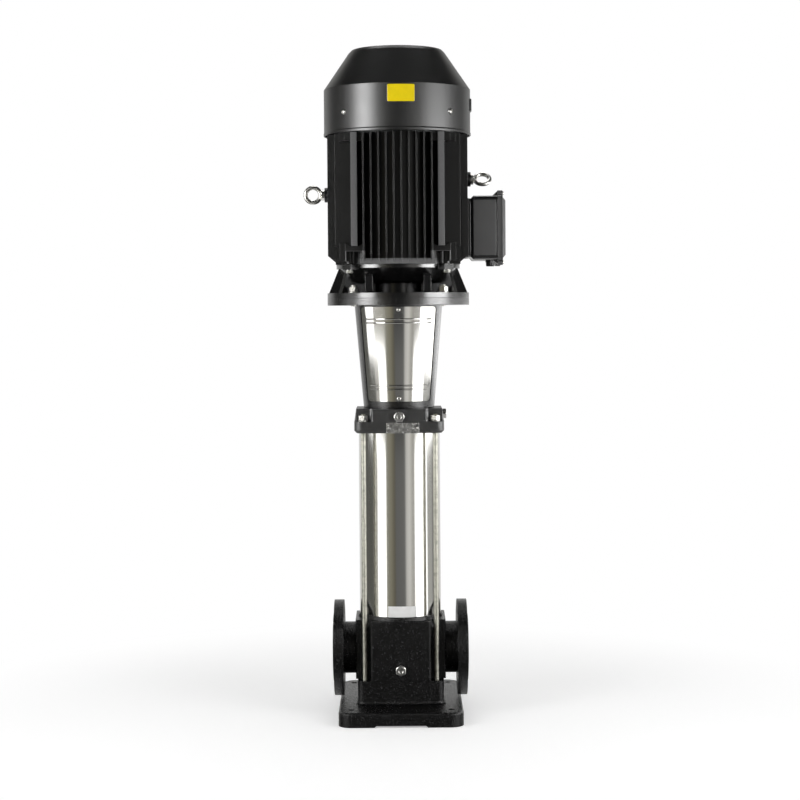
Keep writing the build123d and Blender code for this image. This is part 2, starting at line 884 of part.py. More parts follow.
# Pump shaft, its bottom nut and the spacers between the impellers
nut_top = hub_bottoms[0]
with BuildPart() as pump_shaft:
    with BuildSketch(Plane.XY.offset(nut_top - shaft_nut_height - shaft_tip)):
        Circle(pump_shaft_radius)
    extrude(amount=motor_shaft_end - coupling_shaft_step - nut_top + shaft_nut_height + shaft_tip)
    chamfer(pump_shaft.edges().filter_by(GeomType.CIRCLE), shaft_chamfer)
save(pump_shaft, "pump_shaft")

with BuildPart() as shaft_nut:
    with BuildSketch(Plane.XY.offset(nut_top)):
        RegularPolygon(shaft_nut_flats / 2, 6, major_radius=False)
        Circle(pump_shaft_radius + thread_gap, mode=Mode.SUBTRACT)
    extrude(amount=-shaft_nut_height)
save(shaft_nut, "shaft_nut")

with BuildPart() as shaft_spacers:
    spacer_tops = hub_bottoms[1:] + [seat_bottom - running_gap - seal_face_height]
    for low, high in zip(hub_tops, spacer_tops):
        with BuildSketch(Plane.XY.offset(low)):
            Circle(spacer_radius)
            Circle(pump_shaft_radius + running_gap, mode=Mode.SUBTRACT)
        extrude(amount=high - low)
save(shaft_spacers, "shaft_spacers")


def window_points(low, high, angle):
    """Corners of a window seen from the front, as wide as the cone is at each level."""
    share = math.sin(math.radians(angle))
    return (
        (-share * cone_radius(low), low),
        (share * cone_radius(low), low),
        (share * cone_radius(high), high),
        (-share * cone_radius(high), high),
    )


def cone_section(low, high, inner_offset, outer_offset):
    """Corners of the section of a ring that follows the stool's taper between two levels."""
    return (
        (cone_radius(low) + inner_offset, low),
        (cone_radius(low) + outer_offset, low),
        (cone_radius(high) + outer_offset, high),
        (cone_radius(high) + inner_offset, high),
    )


# Motor stool: foot ring, tapered shell with two windows, top flange
rebate_low = head_top + rebate_sill
rebate_high = stool_flange_bottom - rebate_head
with BuildPart() as rebate_tool:
    with BuildSketch(meridian(0)):
        Polygon(*cone_section(rebate_low, rebate_high, -rebate_depth, stool_wall), align=None)
    revolve(axis=Axis.Z)
    with BuildSketch(Plane.XZ) as rebate_outline:
        Polygon(*window_points(rebate_low, rebate_high, rebate_angle), align=None)
        fillet(rebate_outline.vertices(), guard_corner)
    extrude(amount=stool_top_radius + stool_wall, both=True, mode=Mode.INTERSECT)

with BuildPart() as motor_stool:
    with BuildSketch(meridian(0)):
        with BuildLine():
            Polyline(
                (stool_foot_inner_radius, head_top),
                (stool_foot_radius, head_top),
                (stool_top_radius, stool_flange_bottom),
                (motor_flange_diameter / 2, stool_flange_bottom),
                (motor_flange_diameter / 2, stool_top),
                (motor_spigot_radius + running_gap, stool_top),
                (motor_spigot_radius + running_gap, stool_top - motor_spigot_height - seat_gap),
                (stool_top_radius - stool_wall, stool_top - motor_spigot_height - seat_gap),
                (stool_top_radius - stool_wall, stool_flange_bottom),
                (cone_radius(head_top + stool_foot_thickness) - stool_wall, head_top + stool_foot_thickness),
                (stool_foot_inner_radius, head_top + stool_foot_thickness),
                close=True,
            )
        make_face()
    revolve(axis=Axis.Z)
    add(rebate_tool.part, mode=Mode.SUBTRACT)
    with BuildSketch(Plane.XZ) as window:
        Polygon(
            *window_points(head_top + window_sill, stool_flange_bottom - window_head, window_angle),
            align=None,
        )
        fillet(window.vertices(), window_corner)
    extrude(amount=stool_top_radius + stool_wall, both=True, mode=Mode.SUBTRACT)
    with BuildSketch(Plane.XY.offset(head_top)):
        with PolarLocations(stool_screw_circle / 2, 4, 45):
            Circle(stool_screw_diameter / 2 + thread_gap)
    extrude(amount=stool_foot_thickness, mode=Mode.SUBTRACT)
    with BuildSketch(Plane.XY.offset(stool_flange_bottom)):
        with PolarLocations(motor_bolt_circle / 2, 4, 45):
            Circle(motor_bolt_diameter / 2 + thread_gap)
    extrude(amount=stool_flange_thickness, mode=Mode.SUBTRACT)
    with BuildSketch(Plane.XZ):
        with Locations(
            (0, rebate_low + guard_screw_inset),
            (0, rebate_high - guard_screw_inset),
        ):
            Circle(guard_screw_diameter / 2 + thread_gap)
    extrude(amount=stool_top_radius + stool_wall, both=True, mode=Mode.SUBTRACT)
save(motor_stool, "motor_stool")

with BuildPart() as stool_screws:
    with BuildSketch(Plane.XY.offset(head_top + stool_foot_thickness)):
        with PolarLocations(stool_screw_circle / 2, 4, 45):
            Circle(stool_screw_head / 2)
    extrude(amount=stool_screw_head_height)
    with BuildSketch(Plane.XY.offset(head_top + stool_foot_thickness)):
        with PolarLocations(stool_screw_circle / 2, 4, 45):
            Circle(stool_screw_diameter / 2)
    extrude(amount=-stool_foot_thickness - head_deck + screw_end_gap)
save(stool_screws, "stool_screws")


def coupling_guard(facing, name):
    """Tapered sheet in the stool's window, with two pairs of beads and its screw holes."""
    low = rebate_low + guard_edge_gap
    high = rebate_high - guard_edge_gap
    with BuildPart() as guard:
        with BuildSketch(meridian(facing - bead_angle - guard_margin)):
            Polygon(*cone_section(low, high, -rebate_depth, guard_thickness - rebate_depth), align=None)
        revolve(axis=Axis.Z, revolution_arc=2 * (bead_angle + guard_margin))
        with BuildSketch(Plane.XZ) as guard_outline:
            Polygon(*window_points(low, high, rebate_angle - guard_edge_gap), align=None)
            fillet(guard_outline.vertices(), guard_corner)
        extrude(amount=stool_top_radius + stool_wall, both=True, mode=Mode.INTERSECT)
        for anchor, way in ((low, 1), (high, -1)):
            for step in range(2):
                level = anchor + way * (bead_inset + step * bead_spacing)
                with BuildSketch(meridian(facing - bead_angle)):
                    with Locations((cone_radius(level) + guard_thickness / 2 - rebate_depth, level)):
                        Circle(bead_radius)
                revolve(axis=Axis.Z, revolution_arc=2 * bead_angle)
        with BuildSketch(Plane.XZ):
            with Locations(
                (0, rebate_low + guard_screw_inset),
                (0, rebate_high - guard_screw_inset),
            ):
                Circle(guard_screw_diameter / 2 + seat_gap)
        extrude(amount=stool_top_radius + stool_wall, both=True, mode=Mode.SUBTRACT)
    save(guard, name)


coupling_guard(-90, "coupling_guard_front")
coupling_guard(90, "coupling_guard_rear")

with BuildPart() as guard_screws:
    for level in (rebate_low + guard_screw_inset, rebate_high - guard_screw_inset):
        for way in (-1, 1):
            reach = cone_radius(level) - rebate_depth + guard_thickness
            screw_plane = Plane(origin=(0, way * reach, level), x_dir=(1, 0, 0), z_dir=(0, way, 0))
            lift = cone_slope * guard_screw_head / 2
            with BuildSketch(screw_plane.offset(lift)):
                Circle(guard_screw_head / 2)
            extrude(amount=guard_screw_head_height)
            with BuildSketch(screw_plane.offset(lift)):
                Circle(guard_screw_diameter / 2)
            extrude(amount=-stool_wall)
save(guard_screws, "guard_screws")


def coupling_half(way, name):
    """Half of the split coupling, bored for both shafts and drilled for the four bolts."""
    with BuildPart() as half:
        with BuildSketch(Plane.XY.offset(coupling_bottom)):
            Circle(coupling_radius)
            with Locations((0, way * (coupling_split / 2 + coupling_radius))):
                Rectangle(2 * coupling_radius, 2 * coupling_radius, mode=Mode.INTERSECT)
        extrude(amount=coupling_length)
        with BuildSketch(Plane.XY.offset(motor_shaft_end - coupling_shaft_step)):
            Circle(motor_shaft_radius + running_gap)
        extrude(amount=coupling_length, mode=Mode.SUBTRACT)
        with BuildSketch(Plane.XY.offset(coupling_bottom)):
            Circle(pump_shaft_radius + running_gap)
        extrude(amount=coupling_length, mode=Mode.SUBTRACT)
        with BuildSketch(Plane.XZ):
            with Locations((0, motor_shaft_end)):
                with GridLocations(2 * coupling_bolt_offset, coupling_length - 2 * coupling_bolt_inset, 2, 2):
                    Circle(coupling_bolt_diameter / 2 + thread_gap)
        extrude(amount=coupling_radius, both=True, mode=Mode.SUBTRACT)
        seat_middle = (0, way * coupling_bolt_grip, motor_shaft_end)
        seat = Plane(origin=seat_middle, x_dir=(1, 0, 0), z_dir=(0, way, 0))
        with BuildSketch(seat):
            with GridLocations(2 * coupling_bolt_offset, coupling_length - 2 * coupling_bolt_inset, 2, 2):
                Circle(coupling_bolt_head / 2 + coupling_seat_gap)
        extrude(amount=coupling_radius, mode=Mode.SUBTRACT)
    save(half, name)


coupling_half(-1, "coupling_half_front")
coupling_half(1, "coupling_half_rear")

with BuildPart() as coupling_bolts:
    for way in (-1, 1):
        seat_middle = (0, way * coupling_bolt_grip, motor_shaft_end)
        seat = Plane(origin=seat_middle, x_dir=(1, 0, 0), z_dir=(0, way, 0))
        with BuildSketch(seat):
            with GridLocations(2 * coupling_bolt_offset, coupling_length - 2 * coupling_bolt_inset, 2, 2):
                RegularPolygon(coupling_bolt_head / 2, 6, major_radius=False)
        extrude(amount=coupling_bolt_head_height)
    with BuildSketch(Plane.XZ):
        with Locations((0, motor_shaft_end)):
            with GridLocations(2 * coupling_bolt_offset, coupling_length - 2 * coupling_bolt_inset, 2, 2):
                Circle(coupling_bolt_diameter / 2)
    extrude(amount=coupling_bolt_grip, both=True)
save(coupling_bolts, "coupling_bolts")


def slanted_rib_points(foot_radius):
    """Corners of a rib that leans in from the motor flange and runs up under the bell."""
    return (
        (shield_neck_radius - fuse, motor_flange_top - fuse),
        (foot_radius, motor_flange_top - fuse),
        (shield_rib_top_radius, bell_bottom + bell_height - bell_wall),
        (bell_lower_radius, bell_bottom + bell_height - bell_wall),
        (bell_lower_radius - bell_wall / 2, bell_bottom + bell_wall / 2),
        (shield_neck_radius - fuse, bell_bottom + fuse),
    )


# Drive-end shield: flange with spigot, ribbed neck, bell and the bolting lugs
with BuildPart() as drive_end_shield:
    with BuildSketch(meridian(0)):
        with BuildLine():
            Polyline(
                (bearing_bore_radius + shield_shaft_gap, stool_top),
                (motor_spigot_radius - bell_wall * 2, stool_top),
                (motor_spigot_radius - bell_wall * 2, stool_top - motor_spigot_height),
                (motor_spigot_radius, stool_top - motor_spigot_height),
                (motor_spigot_radius, stool_top),
                (motor_flange_diameter / 2, stool_top),
                (motor_flange_diameter / 2, motor_flange_top),
                (shield_neck_radius, motor_flange_top),
                (shield_neck_radius, bell_bottom),
                (bell_lower_radius - bell_wall, bell_bottom),
                (bell_lower_radius, bell_bottom + bell_wall / 2),
                (bell_upper_radius, bell_bottom + bell_height - bell_wall),
                (frame_radius, bell_bottom + bell_height - bell_wall),
                (frame_radius, frame_bottom),
                (frame_bore_radius - running_gap, frame_bottom),
                (frame_bore_radius - running_gap, frame_bottom + motor_spigot_height),
                (frame_bore_radius - bell_wall, frame_bottom + motor_spigot_height),
                (bell_lower_radius - bell_wall, bell_bottom + bell_wall),
                (drive_bearing_radius + running_gap, bell_bottom + bell_wall),
                (drive_bearing_radius + running_gap, drive_bearing_bottom),
                (bearing_bore_radius + shield_shaft_gap, drive_bearing_bottom),
                close=True,
            )
        make_face()
    revolve(axis=Axis.Z)
    for side in (0, 180):
        for angle, foot_radius in (
            (0, side_rib_radius),
            (slant_rib_angle, slant_rib_radius),
            (-slant_rib_angle, slant_rib_radius),
        ):
            with BuildSketch(meridian(side + angle)):
                Polygon(*slanted_rib_points(foot_radius), align=None)
            extrude(amount=shield_rib_thickness / 2, both=True)
    for across in (-1, 1):
        for way in (-1, 1):
            with BuildSketch(Plane.YZ.offset(across * front_rib_offset)) as blunt_rib:
                with Locations((way * (front_rib_root + front_rib_reach) / 2, motor_flange_top - fuse)):
                    Rectangle(
                        front_rib_reach - front_rib_root,
                        front_rib_height + fuse,
                        align=(Align.CENTER, Align.MIN),
                    )
                fillet(blunt_rib.vertices().group_by(Axis.Z)[-1], front_rib_round)
            extrude(amount=front_rib_thickness / 2, both=True)
    with BuildSketch(Plane.XY.offset(frame_bottom)):
        with PolarLocations(frame_radius + shield_lug_size / 4, 4, 45):
            Rectangle(shield_lug_size, shield_lug_size)
    extrude(amount=-shield_lug_height)
    with BuildSketch(Plane.XY.offset(frame_bottom + motor_spigot_height)):
        Circle(frame_bore_radius - bell_wall)
    extrude(amount=-motor_spigot_height - bell_height + bell_wall, mode=Mode.SUBTRACT, taper=bell_taper)
    with BuildSketch(Plane.XY.offset(frame_bottom)):
        with GridLocations(2 * socket_offset, 2 * socket_offset, 2, 2):
            Circle(shield_bolt_diameter / 2 + thread_gap)
    extrude(amount=-shield_lug_height, mode=Mode.SUBTRACT)
    with BuildSketch(Plane.XY.offset(stool_top)):
        with PolarLocations(motor_bolt_circle / 2, 4, 45):
            Circle(motor_bolt_diameter / 2 + bolt_hole_gap)
    extrude(amount=motor_flange_thickness, mode=Mode.SUBTRACT)
save(drive_end_shield, "drive_end_shield")

# Studs and nuts that hold the motor flange on the stool
with BuildPart() as motor_studs:
    with BuildSketch(Plane.XY.offset(stool_flange_bottom - motor_stud_tip)):
        with PolarLocations(motor_bolt_circle / 2, 4, 45):
            Circle(motor_bolt_diameter / 2)
    extrude(
        amount=stool_flange_thickness
        + motor_flange_thickness
        + washer_thickness
        + nut_height
        + 3 * motor_stud_tip
    )
    chamfer(motor_studs.edges().filter_by(GeomType.CIRCLE), motor_stud_chamfer)
save(motor_studs, "motor_studs")

with BuildPart() as motor_nuts:
    with BuildSketch(Plane.XY.offset(motor_flange_top)):
        with PolarLocations(motor_bolt_circle / 2, 4, 45):
            Circle(motor_bolt_flats / 2 + motor_washer_margin)
    extrude(amount=washer_thickness)
    with BuildSketch(Plane.XY.offset(motor_flange_top + washer_thickness)):
        with PolarLocations(motor_bolt_circle / 2, 4, 45):
            RegularPolygon(motor_bolt_flats / 2, 6, major_radius=False)
    extrude(amount=nut_height)
    with BuildSketch(Plane.XY.offset(motor_flange_top)):
        with PolarLocations(motor_bolt_circle / 2, 4, 45):
            Circle(motor_bolt_diameter / 2 + thread_gap)
    extrude(amount=washer_thickness + nut_height, mode=Mode.SUBTRACT)
save(motor_nuts, "motor_nuts")


def bracket_points(side):
    """Outline of a bottom bracket on one side of a bank, open below and notched for the rail."""
    outline = (
        (bracket_inner, bracket_skirt),
        (bracket_inner + bracket_wall, bracket_skirt),
        (bracket_inner + bracket_wall, bracket_floor),
        (bracket_outer - bracket_wall, bracket_floor),
        (bracket_outer - bracket_wall, bracket_skirt),
        (bracket_outer, bracket_skirt),
        (bracket_outer, bracket_tip),
        (rail_offset + rail_width / 2, bracket_notch),
        (rail_offset - rail_width / 2, bracket_notch),
        (bracket_inner, bracket_tip),
    )
    return [(side * across, frame_bottom + rise) for across, rise in outline]


# Motor frame: bored tube with four banks of fins, corner rails, bolt brackets and bosses
fin_root = frame_bore_radius * math.cos(math.radians(fin_root_angle))
bank_half_width = fin_pitch * fin_count / 2
with BuildPart() as motor_frame:
    with BuildSketch(Plane.XY.offset(frame_bottom)):
        Circle(frame_radius)
        for angle, reach in ((0, side_fin_reach), (90, fin_reach), (180, side_fin_reach), (270, fin_reach)):
            with PolarLocations((fin_root + reach) / 2, 1, angle):
                with GridLocations(0, fin_pitch, 1, fin_count):
                    Rectangle(reach - fin_root, fin_thickness)
        Circle(frame_bore_radius, mode=Mode.SUBTRACT)
    extrude(amount=frame_length)
    with BuildSketch(Plane.XY.offset(frame_bottom + bracket_notch)):
        for angle in (0, 90, 180, 270):
            with PolarLocations((fin_root - fin_pitch + rail_reach) / 2, 1, angle):
                with GridLocations(0, 2 * rail_offset, 1, 2):
                    Rectangle(rail_reach - fin_root + fin_pitch, rail_width)
    extrude(amount=frame_length - bracket_notch)
    for angle, reach in ((0, side_fin_reach), (90, fin_reach), (180, side_fin_reach), (270, fin_reach)):
        bank = meridian(angle)
        with BuildSketch(bank):
            with Locations((fin_root, frame_bottom)):
                Rectangle(rail_reach - fin_root, fin_bar_height, align=(Align.MIN, Align.MIN))
        extrude(amount=bank_half_width, both=True)
        with BuildSketch(bank):
            Polygon(
                (rail_reach, frame_bottom),
                (reach + fuse, frame_bottom),
                (reach + fuse, frame_bottom + fin_bevel_high),
                (reach, frame_bottom + fin_bevel_high),
                (rail_reach, frame_bottom + fin_bevel_low),
                align=None,
            )
        extrude(amount=bank_half_width, both=True, mode=Mode.SUBTRACT)
        across = Vector(0, 0, 1).cross(bank.x_dir)
        outward = Plane(origin=bank.x_dir * fin_root, x_dir=across, z_dir=bank.x_dir)
        with BuildSketch(outward):
            for side in (-1, 1):
                Polygon(*bracket_points(side), align=None)
            with Locations((0, frame_top - top_bracket_height / 2)):
                with GridLocations(bracket_outer + bracket_inner, 0, 2, 1):
                    Rectangle(bracket_outer - bracket_inner, top_bracket_height)
        extrude(amount=bracket_reach - fin_root)
    for level, height in ((frame_bottom, bracket_floor + fuse), (frame_top, -top_bracket_height)):
        with BuildSketch(Plane.XY.offset(level)):
            with GridLocations(2 * socket_offset, 2 * socket_offset, 2, 2):
                Circle(boss_radius)
        extrude(amount=height)
    with BuildSketch(Plane.YZ.offset(frame_bore_radius)):
        with Locations((0, (saddle_bottom + saddle_top) / 2)):
            Rectangle(2 * saddle_half_depth, saddle_top - saddle_bottom)
    extrude(amount=pad_start - frame_bore_radius)
    with BuildSketch(Plane.YZ.offset(pad_start)):
        with Locations((0, (saddle_bottom + saddle_top) / 2)):
            Rectangle(2 * pad_half_depth, saddle_top - saddle_bottom)
    extrude(amount=pad_reach - pad_start)
    for way, level in ((-1, left_eye_height), (1, right_eye_height)):
        boss_plane = Plane(origin=(way * frame_bore_radius, 0, level), x_dir=(0, 1, 0), z_dir=(way, 0, 0))
        with BuildSketch(boss_plane):
            Circle(eye_boss_radius)
        extrude(amount=eye_boss_reach - frame_bore_radius)
        with BuildSketch(boss_plane.offset(eye_boss_reach - frame_bore_radius)):
            Circle(eye_section_radius + thread_gap)
        extrude(amount=-eye_shank_length - screw_end_gap, mode=Mode.SUBTRACT)
    with BuildSketch(Plane.XY.offset(frame_bottom)):
        Circle(frame_bore_radius)
    extrude(amount=frame_length, mode=Mode.SUBTRACT)
    with BuildSketch(Plane.YZ.offset(frame_bore_radius - frame_wall)):
        with Locations((0, box_middle)):
            Circle(cable_hole_radius)
    extrude(amount=fin_reach, mode=Mode.SUBTRACT)
    for level, depth in ((frame_bottom, bracket_floor), (frame_top, -top_bracket_height)):
        with BuildSketch(Plane.XY.offset(level)):
            with GridLocations(2 * socket_offset, 2 * socket_offset, 2, 2):
                Circle(shield_bolt_diameter / 2 + thread_gap)
        extrude(amount=depth, mode=Mode.SUBTRACT)
save(motor_frame, "motor_frame")

# Bolts that hold both end shields on the frame
with BuildPart() as end_shield_bolts:
    for level, way, grip, depth in (
        (frame_bottom - shield_lug_height, -1, shield_lug_height, bracket_floor),
        (frame_top + fan_shield_plate, 1, fan_shield_plate, top_bracket_height),
    ):
        with BuildSketch(Plane.XY.offset(level)):
            with GridLocations(2 * socket_offset, 2 * socket_offset, 2, 2):
                RegularPolygon(shield_bolt_head / 2, 6, major_radius=False)
        extrude(amount=way * shield_bolt_head_height)
        with BuildSketch(Plane.XY.offset(level)):
            with GridLocations(2 * socket_offset, 2 * socket_offset, 2, 2):
                Circle(shield_bolt_diameter / 2)
        extrude(amount=-way * (grip + depth - shield_bolt_end_gap))
save(end_shield_bolts, "end_shield_bolts")

# Lifting eyebolts, screwed into the two side bosses
with BuildPart() as lifting_eyebolts:
    for way, level, turn in ((-1, left_eye_height, 0), (1, right_eye_height, 45)):
        seat = Plane(origin=(way * eye_boss_reach, 0, level), x_dir=(0, 1, 0), z_dir=(way, 0, 0))
        with BuildSketch(seat):
            Circle(eye_collar_radius)
        extrude(amount=eye_collar_height)
        with BuildSketch(seat):
            Circle(eye_section_radius)
        extrude(amount=-eye_shank_length)
        with BuildSketch(seat):
            Circle(eye_section_radius)
        extrude(amount=eye_stand - eye_ring_radius)
        ring_middle = Vector(way * (eye_boss_reach + eye_stand), 0, level)
        lean = math.radians(turn)
        ring_axis = Vector(0, -math.cos(lean), math.sin(lean))
        section_plane = Plane(
            origin=ring_middle + Vector(-way * eye_ring_radius, 0, 0),
            x_dir=(way, 0, 0),
            z_dir=ring_axis.cross(Vector(way, 0, 0)),
        )
        with BuildSketch(section_plane):
            Circle(eye_section_radius)
        revolve(axis=Axis(ring_middle, ring_axis))
save(lifting_eyebolts, "lifting_eyebolts")


def ball_bearing(prefix, bottom, width, outer_radius, ball_radius, ball_count):
    """Outer ring, inner ring and the caged balls of one deep-groove bearing."""
    pitch = (bearing_bore_radius + outer_radius) / 2
    ring = (outer_radius - bearing_bore_radius) * race_share
    level = bottom + width / 2
    for name, low, high in (
        ("outer", outer_radius - ring, outer_radius),
        ("inner", bearing_bore_radius + running_gap, bearing_bore_radius + ring),
    ):
        with BuildPart() as race:
            with BuildSketch(meridian(0)):
                with Locations(((low + high) / 2, level)):
                    Rectangle(high - low, width)
                with Locations((pitch, level)):
                    Circle(ball_radius + seat_gap, mode=Mode.SUBTRACT)
            revolve(axis=Axis.Z)
        save(race, f"{prefix}_bearing_{name}")
    with BuildPart() as balls:
        with BuildSketch(meridian(0)):
            with Locations((pitch, level)):
                Rectangle(cage_width, cage_height)
        revolve(axis=Axis.Z)
        with Locations((0, 0, level)):
            with PolarLocations(pitch, ball_count):
                Sphere(ball_radius)
    save(balls, f"{prefix}_bearing_balls")


drive_size = (drive_bearing_width, drive_bearing_radius, drive_ball_radius, drive_ball_count)
fan_size = (fan_bearing_width, fan_bearing_radius, fan_ball_radius, fan_ball_count)
ball_bearing("drive", drive_bearing_bottom, *drive_size)
ball_bearing("fan", fan_bearing_top - fan_bearing_width, *fan_size)

# Motor shaft with its bearing seats and the fan seat
fan_hub_bottom = frame_top + fan_shield_plate + fan_stand
with BuildPart() as motor_shaft:
    for low, high, radius in (
        (motor_shaft_end, stool_top, motor_shaft_radius),
        (stool_top, drive_bearing_bottom + drive_bearing_width, bearing_bore_radius),
        (drive_bearing_bottom + drive_bearing_width, fan_bearing_top - fan_bearing_width, motor_core_radius),
        (fan_bearing_top - fan_bearing_width, frame_top + fan_shield_plate, bearing_bore_radius),
        (frame_top + fan_shield_plate, fan_hub_bottom + fan_hub_height, fan_seat_radius),
    ):
        with BuildSketch(Plane.XY.offset(low)):
            Circle(radius)
        extrude(amount=high - low)
save(motor_shaft, "motor_shaft")

with BuildPart() as rotor_core:
    with BuildSketch(Plane.XY.offset(core_middle)):
        Circle(rotor_radius)
        Circle(motor_core_radius + running_gap, mode=Mode.SUBTRACT)
    extrude(amount=core_length / 2, both=True)
save(rotor_core, "rotor_core")

with BuildPart() as stator_core:
    with BuildSketch(Plane.XY.offset(core_middle)):
        Circle(frame_bore_radius - running_gap)
        Circle(rotor_radius + air_gap, mode=Mode.SUBTRACT)
    extrude(amount=core_length / 2, both=True)
save(stator_core, "stator_core")

with BuildPart() as stator_windings:
    for way in (-1, 1):
        with BuildSketch(Plane.XY.offset(core_middle + way * core_length / 2)):
            Circle(winding_outer_radius)
            Circle(winding_inner_radius, mode=Mode.SUBTRACT)
        extrude(amount=way * winding_height)
save(stator_windings, "stator_windings")

# Fan-end shield: plate with bearing hub and four lugs that carry the fan cover
cover_inner_radius = cover_radius - cover_wall
with BuildPart() as fan_end_shield:
    with BuildSketch(meridian(0)):
        with BuildLine():
            Polyline(
                (bearing_bore_radius + shield_shaft_gap, fan_bearing_top),
                (fan_bearing_radius + running_gap, fan_bearing_top),
                (fan_bearing_radius + running_gap, fan_bearing_top - fan_bearing_width),
                (fan_shield_hub_radius, fan_bearing_top - fan_bearing_width),
                (fan_shield_hub_radius, frame_top),
                (frame_bore_radius - bell_wall, frame_top),
                (frame_bore_radius - bell_wall, frame_top - motor_spigot_height),
                (frame_bore_radius - running_gap, frame_top - motor_spigot_height),
                (frame_bore_radius - running_gap, frame_top),
                (frame_radius, frame_top),
                (frame_radius, frame_top + fan_shield_plate),
                (bearing_bore_radius + shield_shaft_gap, frame_top + fan_shield_plate),
                close=True,
            )
        make_face()
    revolve(axis=Axis.Z)
    with BuildSketch(Plane.XY.offset(frame_top)):
        with PolarLocations(frame_radius, 4, 45):
            Rectangle(3 * cover_lug_width, shield_lug_size)
        Circle(cover_inner_radius - seat_gap, mode=Mode.INTERSECT)
    extrude(amount=fan_shield_plate)
    with BuildSketch(Plane.XY.offset(frame_top + fan_shield_plate)):
        with PolarLocations(cover_inner_radius, 4, 45):
            Rectangle(2 * cover_lug_thickness, shield_lug_size)
        Circle(cover_inner_radius - seat_gap, mode=Mode.INTERSECT)
    extrude(amount=cover_lug_reach)
    with BuildSketch(Plane.XY.offset(frame_top)):
        with GridLocations(2 * socket_offset, 2 * socket_offset, 2, 2):
            Circle(shield_bolt_diameter / 2 + thread_gap)
    extrude(amount=fan_shield_plate, mode=Mode.SUBTRACT)
    for angle in (45, 135, 225, 315):
        with BuildSketch(Plane(origin=(0, 0, cover_screw_height), z_dir=meridian(angle).x_dir)):
            Circle(cover_screw_diameter / 2 + thread_gap)
        extrude(amount=cover_radius, mode=Mode.SUBTRACT)
save(fan_end_shield, "fan_end_shield")

# Cooling fan: hub, disc and straight blades
with BuildPart() as cooling_fan:
    with BuildSketch(Plane.XY.offset(fan_hub_bottom)):
        Circle(fan_hub_radius)
    extrude(amount=fan_hub_height)
    with BuildSketch(Plane.XY.offset(fan_hub_bottom)):
        Circle(fan_disc_radius)
    extrude(amount=fan_disc)
    with BuildSketch(Plane.XY.offset(fan_hub_bottom)):
        with PolarLocations((fan_hub_radius + fan_radius) / 2 - fuse, fan_blade_count):
            Rectangle(fan_radius - fan_hub_radius + 2 * fuse, fan_blade_thickness)
    extrude(amount=fan_blade_height)
    with BuildSketch(Plane.XY.offset(fan_hub_bottom)):
        Circle(fan_seat_radius + running_gap)
    extrude(amount=fan_blade_height, mode=Mode.SUBTRACT)
save(cooling_fan, "cooling_fan")

# Fan cover: drawn cowl with a conical shoulder and the intake grille on top
with BuildPart() as fan_cover:
    with BuildSketch(meridian(0)):
        with BuildLine():
            Polyline(
                (cover_inner_radius, cover_start),
                (cover_radius + cover_lip, cover_start),
                (cover_radius + cover_lip, cover_start + 2 * cover_wall),
                (cover_radius, cover_start + 3 * cover_wall),
                (cover_radius, cover_cone_start),
                (cover_top_radius, cover_top - cover_crown),
                (cover_top_radius - cover_crown, cover_top),
                (0, cover_top),
                (0, cover_top - cover_wall),
                (cover_top_radius - cover_crown - cover_wall / 2, cover_top - cover_wall),
                (cover_top_radius - cover_wall, cover_top - cover_crown - cover_wall / 2),
                (cover_inner_radius, cover_cone_start - cover_wall / 2),
                close=True,
            )
        make_face()
    revolve(axis=Axis.Z)
    with BuildSketch(Plane.XY.offset(cover_top)):
        for ring in range(grille_ring_count):
            radius = grille_first_radius + ring * grille_pitch
            sweep = 360 / grille_sector_count - math.degrees((grille_spoke + grille_slot) / radius)
            for sector in range(grille_sector_count):
                middle = sector * 360 / grille_sector_count
                with BuildLine():
                    CenterArc((0, 0), radius, middle - sweep / 2, sweep)
                    offset(amount=grille_slot / 2, side=Side.BOTH)
                make_face()
    extrude(amount=-2 * cover_wall, mode=Mode.SUBTRACT)
    for angle in (45, 135, 225, 315):
        with BuildSketch(Plane(origin=(0, 0, cover_screw_height), z_dir=meridian(angle).x_dir)):
            Circle(cover_screw_diameter / 2 + seat_gap)
        extrude(amount=cover_radius + cover_wall, mode=Mode.SUBTRACT)
save(fan_cover, "fan_cover")

with BuildPart() as fan_cover_screws:
    for angle in (45, 135, 225, 315):
        screw_plane = Plane(origin=(0, 0, cover_screw_height), z_dir=meridian(angle).x_dir)
        with BuildSketch(screw_plane.offset(cover_radius)):
            Circle(cover_screw_head / 2)
        extrude(amount=cover_screw_head_height)
        with BuildSketch(screw_plane.offset(cover_radius)):
            Circle(cover_screw_diameter / 2)
        extrude(amount=-cover_screw_grip)
save(fan_cover_screws, "fan_cover_screws")

def box_outline(margin):
    """Width and height of the terminal box's outline, grown by a margin."""
    return 2 * (box_half_depth + margin), box_top - box_bottom + 2 * margin


def lid_screw_spots():
    """Places of the four lid screws, in the ears above and below the box."""
    rise = (box_top - box_bottom) / 2 + ear_stand
    return [(across * ear_offset, box_middle + way * rise) for across in (-1, 1) for way in (-1, 1)]


